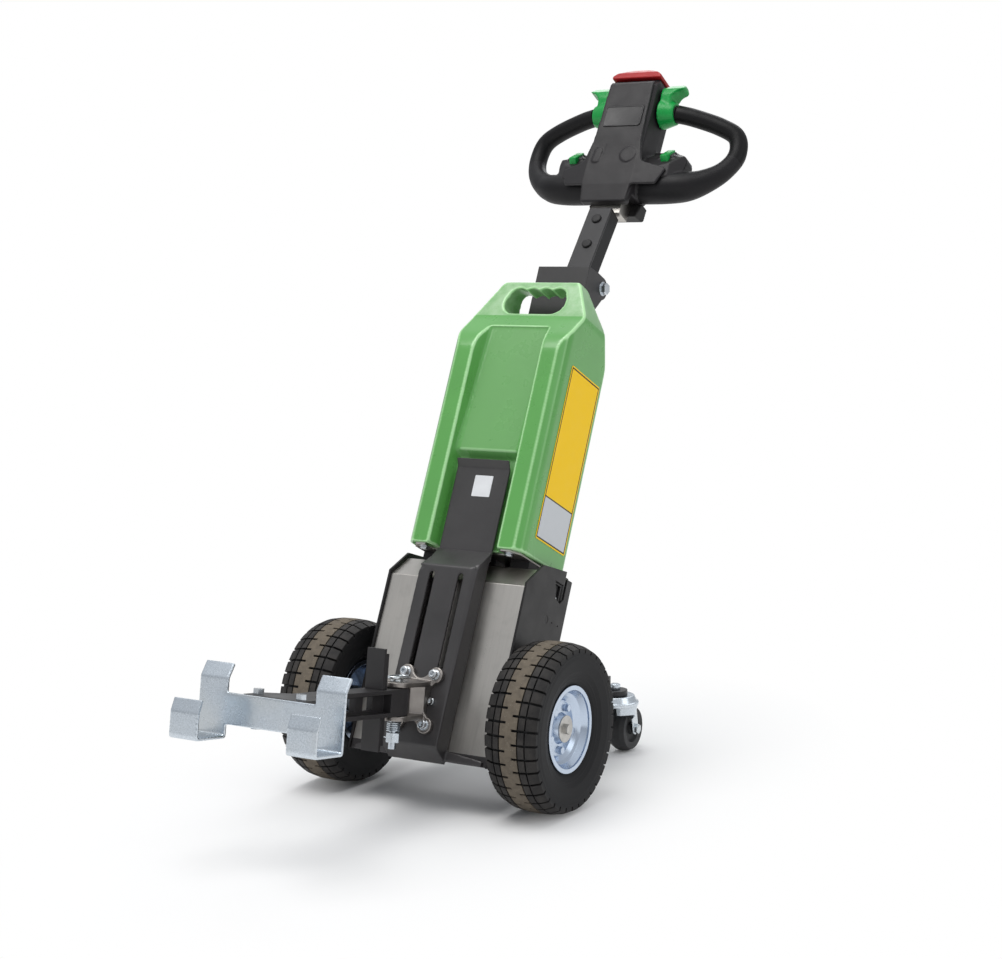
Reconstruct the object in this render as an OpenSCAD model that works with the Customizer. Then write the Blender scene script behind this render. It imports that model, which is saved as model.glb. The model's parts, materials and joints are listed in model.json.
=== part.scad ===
/* [Stance] */
// Lean of the chassis and battery back from upright, in degrees
lean = 24.4; // [22:0.2:27]
// Lean of the tiller arm back from upright, in degrees
arm_lean = 39; // [36:0.5:42]
// Lean of the control head back from upright, in degrees
head_lean = 29; // [27:0.5:32]
// Rise of the towing arm towards its front, in degrees
hitch_rise = 8; // [5:0.5:11]

/* [Drive wheels] */
// Radius of the tyre at its crown
tyre_r = 130; // [127:0.5:133]
// Width of the tyre
tyre_w = 86.4; // [82:0.4:90]
// Distance from the centre plane to the middle of each tyre
track_half = 187.8; // [186:0.2:196]
// Number of tread blocks round each shoulder of a tyre
tread_count = 38; // [32:1:42]
// Depth of the tread grooves
tread_depth = 5; // [3:0.5:6]
// Radius of the rim's flange
rim_r = 66.5; // [64:0.5:69]

/* [Chassis] */
// Distance between the two side plates
chassis_w = 247; // [244:0.5:249]
// Thickness of the folded steel plates
plate_t = 3.5; // [3:0.25:4]
// Distance from the axle forward to the front cover
cover_ahead = 52.3; // [52:0.1:56]
// Distance from the axle back to the rear edge of the side plates
plate_behind = 82.7; // [80:0.5:86]
// Height of the chassis top above the axle, along its lean
deck_h = 234.6; // [228:0.4:245]
// Height of the chassis underside above the floor
belly_z = 76; // [72:0.5:78]

/* [Hitch strap] */
// Width of the centre strap
strap_w = 102; // [96:0.5:108]
// Depth of the centre strap in front of the cover
strap_d = 35; // [33:0.5:38]
// Distance between the two height slots in the strap
slot_gap = 52; // [48:0.5:54]
// Width of a height slot
slot_w = 9; // [8.5:0.25:10]

/* [Battery] */
// Width of the battery case
case_w = 210; // [204:0.5:216]
// Height of the battery case
case_h = 478; // [470:0.5:486]
// Depth of the battery case at its foot
case_d = 153.7; // [151:0.3:158]
// Drop of the front legs' tops below the top of the case
leg_drop = 128; // [122:0.5:134]
// Width of each front leg of the case
leg_w = 48.4; // [47:0.2:50]
// Width of the hand hole
grip_hole_w = 118; // [112:0.5:120]
// Height of the hand hole
grip_hole_h = 51; // [46:0.5:54]
// Number of finger scallops in the hand hole
finger_count = 4; // [3:1:5]

/* [Tiller column] */
// Width of the column behind the battery
column_w = 97.4; // [94:0.4:99]
// Distance from the axle back to the column's web
column_behind = 58.7; // [58.3:0.1:60]
// Distance of the tiller pivot above the top of the battery, along the lean
pivot_above = 36; // [32:0.5:42]
// Distance of the tiller pivot behind the column's web
pivot_behind = 56; // [54:0.5:60]

/* [Tiller arm] */
// Width of the tiller arm
arm_w = 42.6; // [40:0.4:46]
// Depth of the tiller arm, with its front plate
arm_d = 33; // [31:0.5:35]
// Length of the tiller arm above its pivot
arm_len = 162; // [156:1:168]

/* [Control head] */
// Half width of the head's front face
face_half = 47.7; // [46:0.3:49]
// Height of the face's lower end above the pivot, along the head
face_low = 176; // [174:0.5:182]
// Height of the face's upper end above the pivot, along the head
face_high = 430; // [424:1:436]
// Half width of the hand loops, to the middle of the tube
loop_half = 198; // [190:1:206]
// Height of the hand loops between the middles of their two limbs
loop_up = 148; // [146:0.5:154]
// How far the hand loops sweep back
loop_sweep = 33; // [28:0.5:38]
// Radius of the rubber grip
grip_r = 16; // [15:0.25:17]

/* [Tow hook] */
// Width of the hook plate
hook_w = 247; // [240:1:254]
// Thickness of the hook plate
hook_t = 5; // [4:0.25:5.5]
// Width of each upright of the hook plate
upright_w = 48.5; // [45:0.5:52]
// Distance from the hitch pin forward to the hook plate
hook_ahead = 305; // [298:1:315]
// Depth of each cradle, from the hook plate to its lip
cradle_d = 55; // [50:0.5:60]
// Radius of the hitch pin
pin_r = 6; // [5.5:0.1:6.5]

/* [Casters] */
// Radius of a caster's wheel
caster_r = 40; // [38.5:0.25:41]
// Width of a caster's wheel
caster_w = 30; // [28:0.5:32]
// Distance from the axle back to the caster's swivel
swivel_behind = 353; // [345:1:362]
// Distance from the centre plane to a caster's swivel
swivel_half = 114; // [106:0.5:118]
// Distance from the swivel back to the caster's axle
caster_trail = 39; // [36:0.25:41]

/* [Hidden] */
$fn = 64;

// Gap between pieces that are seated but not fixed, and between moving bodies
gap = 0.3;
// Radial clearance of a pin or shaft that turns in its hole
run = 0.05;
// Overrun of every cut past the face it cuts
over = 1;
// Radius that the moulded pieces' corners are shares of
edge_r = 10;

// Colours, as seen on the object
steel_black = [0.10, 0.10, 0.11];
plastic_black = [0.16, 0.16, 0.17];
rubber_black = [0.07, 0.07, 0.07];
case_green = [0.30, 0.62, 0.24];
lever_green = [0.15, 0.70, 0.30];
button_red = [0.75, 0.13, 0.12];
zinc = [0.75, 0.79, 0.82];
stainless = [0.66, 0.64, 0.61];
cast_grey = [0.68, 0.65, 0.61];

// Side plate
plate_nose = 4;
plate_chamfer = 40;
plate_over = 12;
plate_fall = 0.3;
pocket_w = 41;
mark_r = 6.5;
mark_depth = 0.4;
mark_behind = 24.7;
mark_drop = 65;
mark_h = deck_h - mark_drop;
trim_hole_r = 1.5;
trim_hole_step = 20;
bearing_r = 21;
side_x = chassis_w / 2;

// Pocket in the top of a side plate, from its rear corner, as shares of its width
pocket_shares = [
  [-0.39, 0], [-0.39, -0.805], [-0.634, -1.049], [-1.024, -0.927], [-1.317, -0.293], [-0.561, -0.293],
  [-0.561, 0.268]
];

// Front cover and covers inside the side plates
cover_over = 3;
cover_t = 1.6;
cover_bend = 36.5;
cover_half = side_x - gap / 2;
rear_cover_t = 3;
deck_t = 3;
deck_front = cover_ahead - cover_bend;

// Centre strap
strap_t = 5;
strap_bend_drop = 21.4;
slot_drop = 14.5;
strap_bend_h = deck_h - strap_bend_drop;
strap_flange_t = 5;
strap_foot_h = -69;
slot_top_h = strap_bend_h - slot_drop;
slot_low_h = 33.7;
slot_len = slot_top_h - slot_low_h;
skirt_drop = 16;

// Upper plate
upper_t = 4;
upper_room = 7.6;
upper_ahead = 49.3;
upper_len = 152;
upper_top_h = deck_h + upper_len;
upper_lip = 14;

// Battery
cradle_h = 16.7;
base_t = 3;
case_low = deck_h + cradle_h + gap + base_t;
case_front = 63;
channel_w = case_w - 2 * leg_w;
upper_w = channel_w - 2 * upper_room;
leg_h = case_h - leg_drop;
brow_drop = 69.8;
brow_h = case_h - brow_drop;
brow_in = 47.5;
rear_slope_drop = 122;
panel_in = 64.6;
crown_in = 90.7;
rear_slope_h = case_h - rear_slope_drop;
crown_inset = 34.5;
crown_half = case_w / 2 - crown_inset;
shoulder_drop = 70;
shoulder_h = case_h - shoulder_drop;
rear_batter = 4;
case_profile_round_shares = [0, 6, 6, 0.9, 1.8, 6, 0];
case_outline_round_shares = [0, 4, 1.4];
leg_round = 8;
leg_side_in = 11.5;
leg_front_in = 10.7;
leg_gap = 12.8;
leg_nick = 2;
ledge_h = 151;
ledge_slope = 12.5;
floor_low_in = 13.7;
recess_in = case_front - upper_ahead + upper_lip / 2 + upper_t + gap;
floor_high_in = 28.7;
floor_drop = 96;
floor_high_h = case_h - floor_drop;
column_room = 3.3;
column_gap = 2.6;
case_back = case_front + column_behind - column_gap;
grip_hole_drop = 65;
grip_hole_low = case_h - grip_hole_drop;
grip_end_r = 25;
finger_r = 17;
finger_pitch = 24.3;
finger_deep = 5;
cell_wall = 12;
cell_drop = 178;
cell_top = case_h - cell_drop;
base_inset = 7;
base_screw_r = 5;
base_screw_h = 3.5;
base_screw_in = 27;
base_screw_x = case_w / 2 - base_screw_in;
base_screw_front = 17;
plug_w = 60;
plug_d = 30;
rail_w = 34;

// Tiller column
column_t = 5;
column_flange = 30;
column_foot_h = 20;
ear_round = 19;
column_bolt_r = 5;
column_bolt_pitch = 120;
column_bolt_x = 28;
batt_top = case_low + case_h;
column_over = 52;
column_top = batt_top + column_over;
pivot_t = column_behind + pivot_behind;
pivot_s = batt_top + pivot_above;
pivot_r = 6;
pivot_bore_r = pivot_r + run;
washer_r = 12;
washer_t = 2;
hex_r = 10;
hex_h = 8;

// Tiller arm
arm_plate_t = 4.7;
arm_front = 20;
arm_foot = 22;
arm_nip = 4;
plug_r = 7.5;
plug_rise = 3;
plug_low = 82;
plug_high = 137.5;
bush_r = 14;

// Control head, along its own lean from the pivot
face_v = 2.3;
cover_skin = 5;
wing_v = 16.5;
wing_half = 101.6;
wing_low_half = 88.4;
wing_low = 214;
wing_high = 246;
stem_low_half = 44;
stem_step = 208;
stem_back = 3;
top_start = 18;
throat_half = 56.7;
throat_w = 255;
trunk_half = 51;
trunk_back = 80;
trunk_full_v = 55;
trunk_full_w = 276;
trunk_nip = 6;
trunk_crown = 8;
trunk_foot = 12;
trunk_round_h = 20;
face_nip = 4;
shoulder_half = 126;
shoulder_w = 287;
shoulder_flare = 18;
shoulder_v = 70;
limb_r = 28;
limb_v = 47.5;
limb_room = 1;
limb_root = 40;
limb_rise = 3;
limb_sweep = 3.7;
limb_end_r = 25.8;
stub_end = 127;
loop_v = 45;
spigot_r = 13;
spigot_end = 80.5;
top_slope = 12;
pad_h = 25;
pad_half = 48;
pad_back = 94;
pad_skirt = 24;
pad_round = 12;
pad_travel = 5;
panel_half = 37;
panel_low = 324.6;
panel_high = 365.6;
panel_t = 1.2;
panel_sink = 0.8;
panel_round = 4;
panel_room = 0.2;
boss_r = 14.5;
boss_x = 29;
boss_w = 266;
boss_out = 1.5;
button_x = 90;
button_v = 32;
button_w = 281;
button_tilt = 32;
button_len = 30;
button_wide = 12;
button_h = 8;
button_deep = 6;
button_travel = 2.5;
bracket_half = 30;
bracket_front_v = 22;
bracket_back_v = 54;
bracket_lift = 1.5;
under_low = 172;
under_high = 196;
under_half = 44;
under_top_half = 53;
under_back_v = 90;
under_top_v = 74;
under_round = 4;
limb_w = under_high + limb_r + limb_room;
lever_w = limb_w + loop_up;
face_len = face_high - face_low;
shoulder_len = shoulder_w - limb_w;

// Side of the face above its wings, as shares of its half width and of its length
face_side_shares = [[0.979, 0.472], [0.927, 0.685], [0.895, 0.961], [0.832, 1]];
cover_round_shares = [0.2, 0.3, 0.4, 0.4, 0.8, 0.6, 0, 0.4, 0.3];
// Shoulder from the front and the side, as shares of its half width or the trunk's depth, and of its length
shoulder_shares = [[0.373, 0], [0.952, 0.161], [1, 0.71], [0.976, 0.871], [0.905, 1], [0.4365, 1.629]];
shoulder_side_shares = [
  [0.106, -0.161], [0.181, 0.339], [0.4, 0.823], [0.675, 1.129], [0.725, 1.258], [0.85, 1], [0.85, -0.161]
];
// Slanted boss on the face, as shares of the round boss's radius
slant_boss_shares = [[-0.83, -0.62], [0.07, -0.62], [0.62, 0.07], [0.9, 1.79], [0.48, 1.38], [-0.41, -0.07]];
slant_boss_round_shares = [0.3, 0.3, 0.3, 0.1, 0.1, 0.3];
// Pad from the side and from the front, as shares of its depth or half width and of its height
pad_side_shares = [[0.11, 0], [0.131, 0.48], [0.2585, 1], [1, 1]];
pad_round_shares = [0.1, 0.6, 0.8, pad_round / edge_r, 0.3, 0.1, 0];
pad_front_shares = [[1, 0.24], [0.833, 0.52], [0.542, 0.8], [0.208, 1], [0, 1]];

// Share of each guide point of a hand loop: out, up, back, and growth from grip to limb
loop_shares = [
  [0.41, 1.00, 0.04, 0], [0.56, 0.97, 0.24, 0], [0.81, 0.885, 0.65, 0], [0.965, 0.77, 0.94, 0],
  [1.00, 0.53, 1.00, 0], [0.93, 0.29, 0.75, 0.1], [0.793, 0.115, 0.45, 0.45],
  [0.65, 0.03, 0.25, 0.85], [0.465, 0.00, 0.12, 1]
];
loop_step_count = 3;
loop_side_count = 14;
seam_count = 13;

// Thumb lever, round its own axis
lever_hub_r = 28;
lever_rim_r = 19.5;
lever_in_x = 52;
lever_hub_w = 28;
lever_tip_x = 94;
lever_tip_w = 53;
// Lever's blade from the side and the front, as shares of its hub's radius or its width, and of its height
lever_side_shares = [[-1, 0], [-1.316, 0.5], [-1.21, 0.72], [-0.474, 1], [0.105, 1], [0.316, 0.7], [1, 0]];
lever_side_round_shares = [0, 0.6, 0.5, 0.5, 0.5, 0.8, 0];
lever_front_shares = [
  [0, -0.075], [0, 0.8], [0.229, 1], [0.886, 1], [1, 0.75], [0.714, 0.66], [0.486, 0.45], [0.486, -0.075]
];
lever_front_round_shares = [0, 0.6, 0.4, 0.4, 0.4, 0.8, 0.8, 0];

// Push back from the strap of each hitch piece, in the hitch's own frame
hitch_ahead = 60;
hitch_h = -16.4;
lug_gap = 21;
lug_t = 8;
lug_r = 22;
lug_root = 20;
casting_t = 8;
casting_bolt_x = slot_gap / 2;
casting_bolt_h = 39;
casting_ear_r = 12.5;
casting_waist = 14;
casting_saddle = 32.6;
ridge_d = 26;
ridge_foot = 10;
ridge_half = 3;
bolt_r = 4;
bolt_head_r = 8;
bolt_head_h = 6;

// Towing arm
tow_half = 20;
tow_flange = 6;
tow_web = 10;
tow_hole_w = 25;
tow_hole_h = 20;
tow_hole_first = 81;
tow_hole_pitch = 45;
tow_head_d = 40;
tow_head_half = 50;
tow_neck = 40;
tow_hole_count = 3;
pin_room = 0.1;
bumper_half = 15.5;
bumper_t = 5;
bumper_ahead = 60;
bumper_low = 71;
bumper_high = 80.6;
backer_half = 13.5;
backer_t = 10;
backer_low = 63;
backer_high = 73;

// Hook plate, in the hitch's own frame
bar_low = 25;
bar_high = 19.6;
upright_high = 38;
top_flange = 22;
top_fold = 30;
cradle_low = 45;
lip_high = -7;
lip_fold = 20;
lip_flange = 19;
sheet_bend = 5;
hook_bolt_x = 36.5;
hook_bolt_in = 16;
hook_bolt_out = 6;

// Hitch pin, along its own axis
pin_top = 33;
pin_collar_r = 10;
pin_low = 72;
pin_nut_top = 48;
pin_nut_h = 14;
pin_nut_r = 11;
ring_t = 5;
ring_back = 27;
ring_front = 19;
ring_half = 12;
spring_wire = 1.15;
spring_r = 10;
spring_turn_count = 5.5;
spring_ring_count = 8;
spring_end = 1.3;

// Rim, hub and shaft
rim_flange_h = 34.6;
rim_t = 3;
rim_lip = 7;
rim_dish = 12;
rim_curl = 5;
hub_step = 4;
hub_flare = 1;
rim_barrel_r = 54;
rim_disc_h = 15;
hub_r = 24;
hub_face = 24.2;
hub_cap_r = 20.5;
wheel_bolt_r = 34;
wheel_bolt_count = 5;
wheel_bolt_head = 6;
shaft_r = 12.5;
groove_w = 3.6;
ring_groove_w = 2.2;
shoulder_depth = 15;
rib_half = 5;
// Side of the tyre from its bead to its crown, as shares of its height and of its half width
tyre_shares = [
  [0, 0.722], [0.11, 0.826], [0.3425, 0.942], [0.61, 0.993], [0.874, 1], [0.953, 0.745], [0.991, 0.421]
];
ring_near = 15.3;
ring_far = 27;

// Casters
raceway_r = 40;
raceway_t = 13;
caster_post_r = 6;
arm_plate = 8;
arm_boss_r = 21;
caster_clear = 12;
fork_t = 3;
fork_gap = 2.5;
caster_hub_r = 22;
caster_bore_r = 5;
caster_hub_t = 5;
caster_dish = 5;
caster_lip = 1;
caster_round = 5;
caster_post_out = 2;
caster_nut_h = 9;
fork_ear = 10;
// Foot of a fork plate round the caster's axle, as shares of its ear
fork_shares = [[1, 0.31], [0.92, -0.54], [0.31, -1], [-0.62, -0.92], [-1.2, -0.15]];
// Front edge of a fork plate, as shares of the raceway's radius and of the height above the caster's axle
fork_front_shares = [[0.66, -0.8], [0.57, -0.56], [0.38, -0.38], [0.05, -0.27], [-0.7, -0.22]];
swivel_top = caster_r * 2 + caster_clear + raceway_t;
arm_web_h = 30;
arm_web_t = 5;
arm_root = 30;

// Drive units inside the chassis
gearbox_r = 44;
gearbox_w = 36;
motor_r = 38;
motor_w = 74;
drive_box_w = 150;
drive_box_d = 32;
drive_box_h = 100;
drive_box_low = 90;

// Places that follow from the sizes above
axle_z = tyre_r;
pivot_y = pivot_t * cos(lean) + pivot_s * sin(lean);
pivot_z = axle_z + pivot_s * cos(lean) - pivot_t * sin(lean);
strap_face = cover_ahead + strap_d;
hitch_y = -(strap_face + hitch_ahead) * cos(lean) + hitch_h * sin(lean);
hitch_z = axle_z + hitch_h * cos(lean) + (strap_face + hitch_ahead) * sin(lean);
lip_ahead = hook_ahead + hook_t + cradle_d;
lip_corner_r = sheet_bend + hook_t;
lip_corner = [lip_corner_r - lip_ahead - hook_t, lip_corner_r - cradle_low - hook_t];
front_reach = hitch_y + lip_corner[0] * cos(hitch_rise) + lip_corner[1] * sin(hitch_rise) - lip_corner_r;
pad_corner = [pad_back - pad_round, face_high + pad_h - pad_round];
rear_reach = pivot_y + pad_corner[0] * cos(head_lean) + pad_corner[1] * sin(head_lean) + pad_round;
axle_y = -(front_reach + rear_reach) / 2;

// Frames in which the pieces are drawn
module at_axle() translate([0, axle_y, axle_z]) children();
module at_chassis() at_axle() rotate([-lean, 0, 0]) children();
module at_pivot() translate([0, axle_y + pivot_y, pivot_z]) children();
module at_arm() at_pivot() rotate([-arm_lean, 0, 0]) children();
module at_head() at_pivot() rotate([-head_lean, 0, 0]) children();
module at_hitch() translate([0, axle_y + hitch_y, hitch_z]) rotate([-hitch_rise, 0, 0]) children();
module at_swivel(side) translate([side * swivel_half, axle_y + swivel_behind, 0]) children();
module at_case() at_chassis() translate([0, -case_front, case_low]) children();
module at_wheel(side) at_axle() translate([side * track_half, 0, 0]) rotate([0, side * 90, 0]) children();
module at_button(side) translate([side * button_x, button_v, button_w]) rotate([button_tilt, 0, 0]) children();

// Profiles drawn as depth and height, run along the width
module across(width) rotate([90, 0, 90]) linear_extrude(width, center = true) children();
// Outlines drawn as width and height, run from one depth to another
module from_front(near, far) translate([0, far, 0]) rotate([90, 0, 0]) linear_extrude(far - near) children();
// A cylinder along the width, centred on its place
module cross_bar(r, length, sides = 64) rotate([0, 90, 0]) cylinder(r = r, h = length, center = true, $fn = sides);

function unit(v) = v / norm(v);
function turn(v) = [-v[1], v[0]];

// Points of a round corner of radius r between the points a and b
function corner(a, p, b, r, n = 6) =
  r == 0 ? [p] :
  let (u = unit(a - p), v = unit(b - p), half = acos(u * v) / 2)
  let (c = p + unit(u + v) * r / sin(half))
  let (p0 = p + u * r / tan(half) - c, p1 = p + v * r / tan(half) - c)
  let (a0 = atan2(p0[1], p0[0]), a1 = atan2(p1[1], p1[0]))
  let (sweep = (a1 - a0 + 540) % 360 - 180)
  [for (i = [0 : n]) c + r * [cos(a0 + sweep * i / n), sin(a0 + sweep * i / n)]];

// An outline whose corners have the radii given
function soft(points, radii) =
  let (n = len(points))
  [for (i = [0 : n - 1]) each corner(points[(i + n - 1) % n], points[i], points[(i + 1) % n], radii[i])];

// The same with the radii as shares of one
function rounded(points, shares) = soft(points, [for (s = shares) s * edge_r]);

// The section of a folded sheet that follows a path, on its left side
function fold(path, t, bend) =
  let (n = len(path))
  let (way = [for (i = [0 : n - 2]) unit(path[i + 1] - path[i])])
  let (side = [for (w = way) turn(w)])
  let (mid = [for (i = [1 : n - 2]) path[i] + (side[i - 1] + side[i]) * t / (1 + side[i - 1] * side[i])])
  let (left = [for (i = [1 : n - 2]) cross(way[i - 1], way[i]) > 0])
  let (outer = [path[0], each [for (i = [1 : n - 2]) path[i]], path[n - 1]])
  let (inner = [path[n - 1] + side[n - 2] * t, each [for (i = [n - 3 : -1 : 0]) mid[i]], path[0] + side[0] * t])
  let (outer_r = [0, each [for (l = left) l ? bend + t : bend], 0])
  let (inner_r = [0, each [for (i = [n - 3 : -1 : 0]) left[i] ? bend : bend + t], 0])
  soft([each outer, each inner], [each outer_r, each inner_r]);

// Both halves of an outline that is drawn for one side
function both(points) = [each points, each [for (i = [len(points) - 1 : -1 : 0]) [-points[i][0], points[i][1]]]];

// A one-sided list of outline points or corner radii, followed by its own reverse
function back_again(v) = [each v, each [for (i = [len(v) - 1 : -1 : 0]) v[i]]];

// Outline points given as shares of two sizes
function sized(shares, wide, tall, at = [0, 0]) = [for (p = shares) [at[0] + p[0] * wide, at[1] + p[1] * tall]];

// A smooth curve through guide points
function spline(p, steps) =
  let (n = len(p))
  [for (i = [0 : n - 2], k = [0 : steps - (i == n - 2 ? 0 : 1)])
    let (t = k / steps, a = p[max(i - 1, 0)], b = p[i], c = p[i + 1], d = p[min(i + 2, n - 1)])
    b + ((c - a) * t + (2 * a - 5 * b + 4 * c - d) * t * t + (3 * b - a - 3 * c + d) * t * t * t) / 2];

// A tube along points, with a radius for each, whose sections stand square to the way it runs
module tube(points, radii, way, sides, up) {
  n = len(points);
  rings = [for (i = [0 : n - 1])
    let (u = unit(cross(way[i], up)), v = cross(u, way[i]))
    each [for (k = [0 : sides - 1]) points[i] + radii[i] * (u * cos(360 * k / sides) + v * sin(360 * k / sides))]];
  walls = [for (i = [0 : n - 2], k = [0 : sides - 1])
    let (a = i * sides + k, b = i * sides + (k + 1) % sides)
    each [[a, b, b + sides], [a, b + sides, a + sides]]];
  first = [for (k = [1 : sides - 2]) [0, k + 1, k]];
  last = [for (k = [1 : sides - 2]) [(n - 1) * sides, (n - 1) * sides + k, (n - 1) * sides + k + 1]];
  polyhedron([each rings], [each walls, each first, each last]);
}

// Height of the belly above the axle, along the lean, at a depth t
function belly_s(t) = (belly_z - axle_z + t * sin(lean)) / cos(lean);

// Chassis

module side_plate(side) {
  front = -cover_ahead - plate_nose;
  top = deck_h + plate_over;
  color(steel_black) at_chassis() difference() {
    translate([side * (side_x + plate_t / 2), 0, 0]) across(plate_t) polygon([
      [front, belly_s(front)], [plate_behind, belly_s(plate_behind)], [plate_behind, top],
      each sized(pocket_shares, pocket_w, pocket_w, [plate_behind, top]),
      [front + plate_chamfer, top - plate_fall], [front, top - plate_fall - plate_chamfer]
    ]);
    translate([side * (side_x + plate_t / 2), 0, 0]) cross_bar(bearing_r + run, plate_t + 2 * over);
    translate([side * (side_x + plate_t), mark_behind, mark_h]) cross_bar(mark_r, 2 * mark_depth);
    for (i = [1, 2]) translate([side * side_x, mark_behind + i * trim_hole_step, mark_h])
      cross_bar(trim_hole_r, 2 * plate_t + 2 * over);
  }
}

module side_plate_left() side_plate(-1);
module side_plate_right() side_plate(1);

module front_cover() {
  bend_s = deck_h + cover_over - cover_bend;
  color(stainless) at_chassis() across(2 * cover_half)
    polygon(fold([
      [-cover_ahead, belly_s(-cover_ahead) + skirt_drop], [-cover_ahead, bend_s],
      [-cover_ahead + cover_bend, bend_s + cover_bend]
    ], -cover_t, cover_t));
}

module rear_cover() {
  at_t = column_behind - rear_cover_t;
  color(steel_black) at_chassis() across(2 * cover_half) polygon([
    [at_t, belly_s(at_t) + plate_t + gap], [column_behind, belly_s(column_behind) + plate_t + gap],
    [column_behind, deck_h - deck_t], [at_t, deck_h - deck_t]
  ]);
}

module belly_pan() {
  from_t = -cover_ahead;
  color(steel_black) at_chassis() across(2 * cover_half) polygon([
    [from_t, belly_s(from_t)], [plate_behind, belly_s(plate_behind)],
    [plate_behind, belly_s(plate_behind) + plate_t], [from_t + plate_t, belly_s(from_t) + plate_t],
    [from_t + plate_t, belly_s(from_t) + skirt_drop + plate_t], [from_t + cover_t, belly_s(from_t) + skirt_drop + plate_t],
    [from_t + cover_t, belly_s(from_t) + skirt_drop], [from_t, belly_s(from_t) + skirt_drop]
  ]);
}

module center_strap() {
  top_t = -upper_ahead;
  rise = strap_face - upper_ahead;
  half = strap_w / 2;
  foot_t = -cover_ahead;
  color(steel_black) at_chassis() difference() {
    union() {
      across(strap_w) polygon(fold([
        [foot_t, belly_s(foot_t) - strap_t], [-strap_face, strap_foot_h], [-strap_face, strap_bend_h],
        [top_t + strap_t, strap_bend_h + rise + strap_t]
      ], -strap_t, strap_t));
      for (side = [-1, 1]) translate([side * (half - strap_flange_t / 2), 0, 0]) across(strap_flange_t) polygon([
        [-strap_face + strap_t / 2, strap_foot_h + strap_t], [-cover_ahead, belly_s(foot_t)],
        [-cover_ahead, strap_bend_h + strap_d - strap_t * 2], [-strap_face + strap_t / 2, strap_bend_h - strap_t]
      ]);
      from_front(-cover_ahead - strap_t, -cover_ahead) polygon(both([
        [side_x - 2 * plate_t, belly_s(foot_t)], [side_x - 2 * plate_t, belly_s(foot_t) + skirt_drop / 2],
        [half, belly_s(foot_t) + skirt_drop]
      ]));
    }
    translate([-strap_w, top_t, -deck_h]) cube([2 * strap_w, deck_h, 3 * deck_h]);
    translate([-strap_w, -cover_ahead, -deck_h]) cube([2 * strap_w, deck_h, deck_h + strap_bend_h]);
    for (side = [-1, 1], h = [-1, 1])
      translate([side * casting_bolt_x, -strap_face - over, h * casting_bolt_h]) rotate([-90, 0, 0])
      cylinder(r = bolt_r + run, h = strap_t + 2 * over);
    for (side = [-1, 1]) translate([side * slot_gap / 2, 0, 0]) from_front(-strap_face - over, -cover_ahead - strap_t) {
      translate([-slot_w / 2, slot_top_h - slot_len]) square([slot_w, slot_len]);
      translate([0, slot_top_h]) circle(slot_w / 2);
      translate([0, slot_top_h - slot_len]) circle(slot_w / 2);
    }
  }
}

module upper_plate() {
  color(steel_black) at_chassis() across(upper_w) polygon(fold([
    [-upper_ahead, deck_h], [-upper_ahead, upper_top_h], [-upper_ahead + upper_lip / 2, upper_top_h + upper_lip]
  ], -upper_t, upper_t));
}

module battery_deck() {
  from_t = -deck_front;
  color(steel_black) at_chassis() across(2 * cover_half) polygon([
    [from_t, deck_h - deck_t], [column_behind - gap, deck_h - deck_t], [column_behind - gap, deck_h], [from_t, deck_h]
  ]);
}

module battery_cradle() {
  from_t = 2 * cover_t - deck_front;
  long = case_d - case_front - from_t - 2 * base_inset - rail_w;
  color(plastic_black) at_chassis() for (side = [-1, 1])
    translate([side * (case_w / 2 - base_inset - rail_w / 2), from_t, deck_h])
    difference() {
      translate([-rail_w / 2, 0, 0]) cube([rail_w, long, cradle_h]);
      translate([-rail_w / 4, rail_w / 2, cradle_h / 2]) cube([rail_w / 2, long - rail_w, cradle_h]);
    }
}

// Battery

function case_profile() = [
  [0, 0], [0, leg_h], [brow_in, brow_h], [panel_in, case_h], [crown_in, case_h],
  [case_d - rear_batter, rear_slope_h], [case_d, 0]
];

function case_outline() = both([[case_w / 2, 0], [case_w / 2, shoulder_h], [crown_half, case_h]]);

module case_plan() {
  half = case_w / 2;
  polygon(soft(both([
    [half - leg_side_in, 0], [half - leg_nick, leg_front_in], [half, leg_front_in + leg_side_in], [half, case_d]
  ]), back_again([0, 0, 0, leg_round])));
}

module finger_hole() {
  half = grip_hole_w / 2;
  span = (finger_count - 1) * finger_pitch / 2;
  rest = grip_hole_h - finger_deep;
  difference() {
    union() {
      translate([-half + grip_end_r, 0]) square([2 * (half - grip_end_r), rest]);
      for (side = [-1, 1]) translate([side * (half - grip_end_r), rest / 2]) circle(r = rest / 2);
      for (i = [0 : finger_count - 1]) translate([i * finger_pitch - span, grip_hole_h - finger_r]) circle(r = finger_r);
    }
    translate([-half, -rest]) square([2 * half, rest]);
  }
}

module case_shape() {
  half = channel_w / 2;
  difference() {
    intersection() {
      across(case_w + 2 * over) polygon(rounded(case_profile(), case_profile_round_shares));
      from_front(-over, case_d + over) polygon(rounded(case_outline(), back_again(case_outline_round_shares)));
      translate([0, 0, -over]) linear_extrude(case_h + 2 * over) case_plan();
    }
    intersection() {
      across(case_w) polygon([
        [-over, -over], [recess_in, -over], [recess_in, ledge_h], [floor_low_in, ledge_h + ledge_slope],
        [floor_high_in, floor_high_h], [-over, floor_high_h - over]
      ]);
      translate([0, 0, -2 * over]) linear_extrude(case_h) polygon(both([
        [half + leg_gap / 2 + over, -2 * over], [half + leg_gap / 2, 0], [half - leg_gap / 4, floor_high_in + over]
      ]));
    }
    translate([-column_w / 2 - column_room, case_back, -over])
      cube([column_w + 2 * column_room, case_d, case_h + 2 * over]);
    translate([0, 0, grip_hole_low]) from_front(-over, case_d + over) finger_hole();
  }
}

module battery_case() {
  color(case_green) at_case() difference() {
    case_shape();
    translate([-case_w / 2 + cell_wall, floor_high_in + cell_wall, -over])
      cube([case_w - 2 * cell_wall, case_back - floor_high_in - 2 * cell_wall, cell_top + over]);
  }
}

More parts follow.
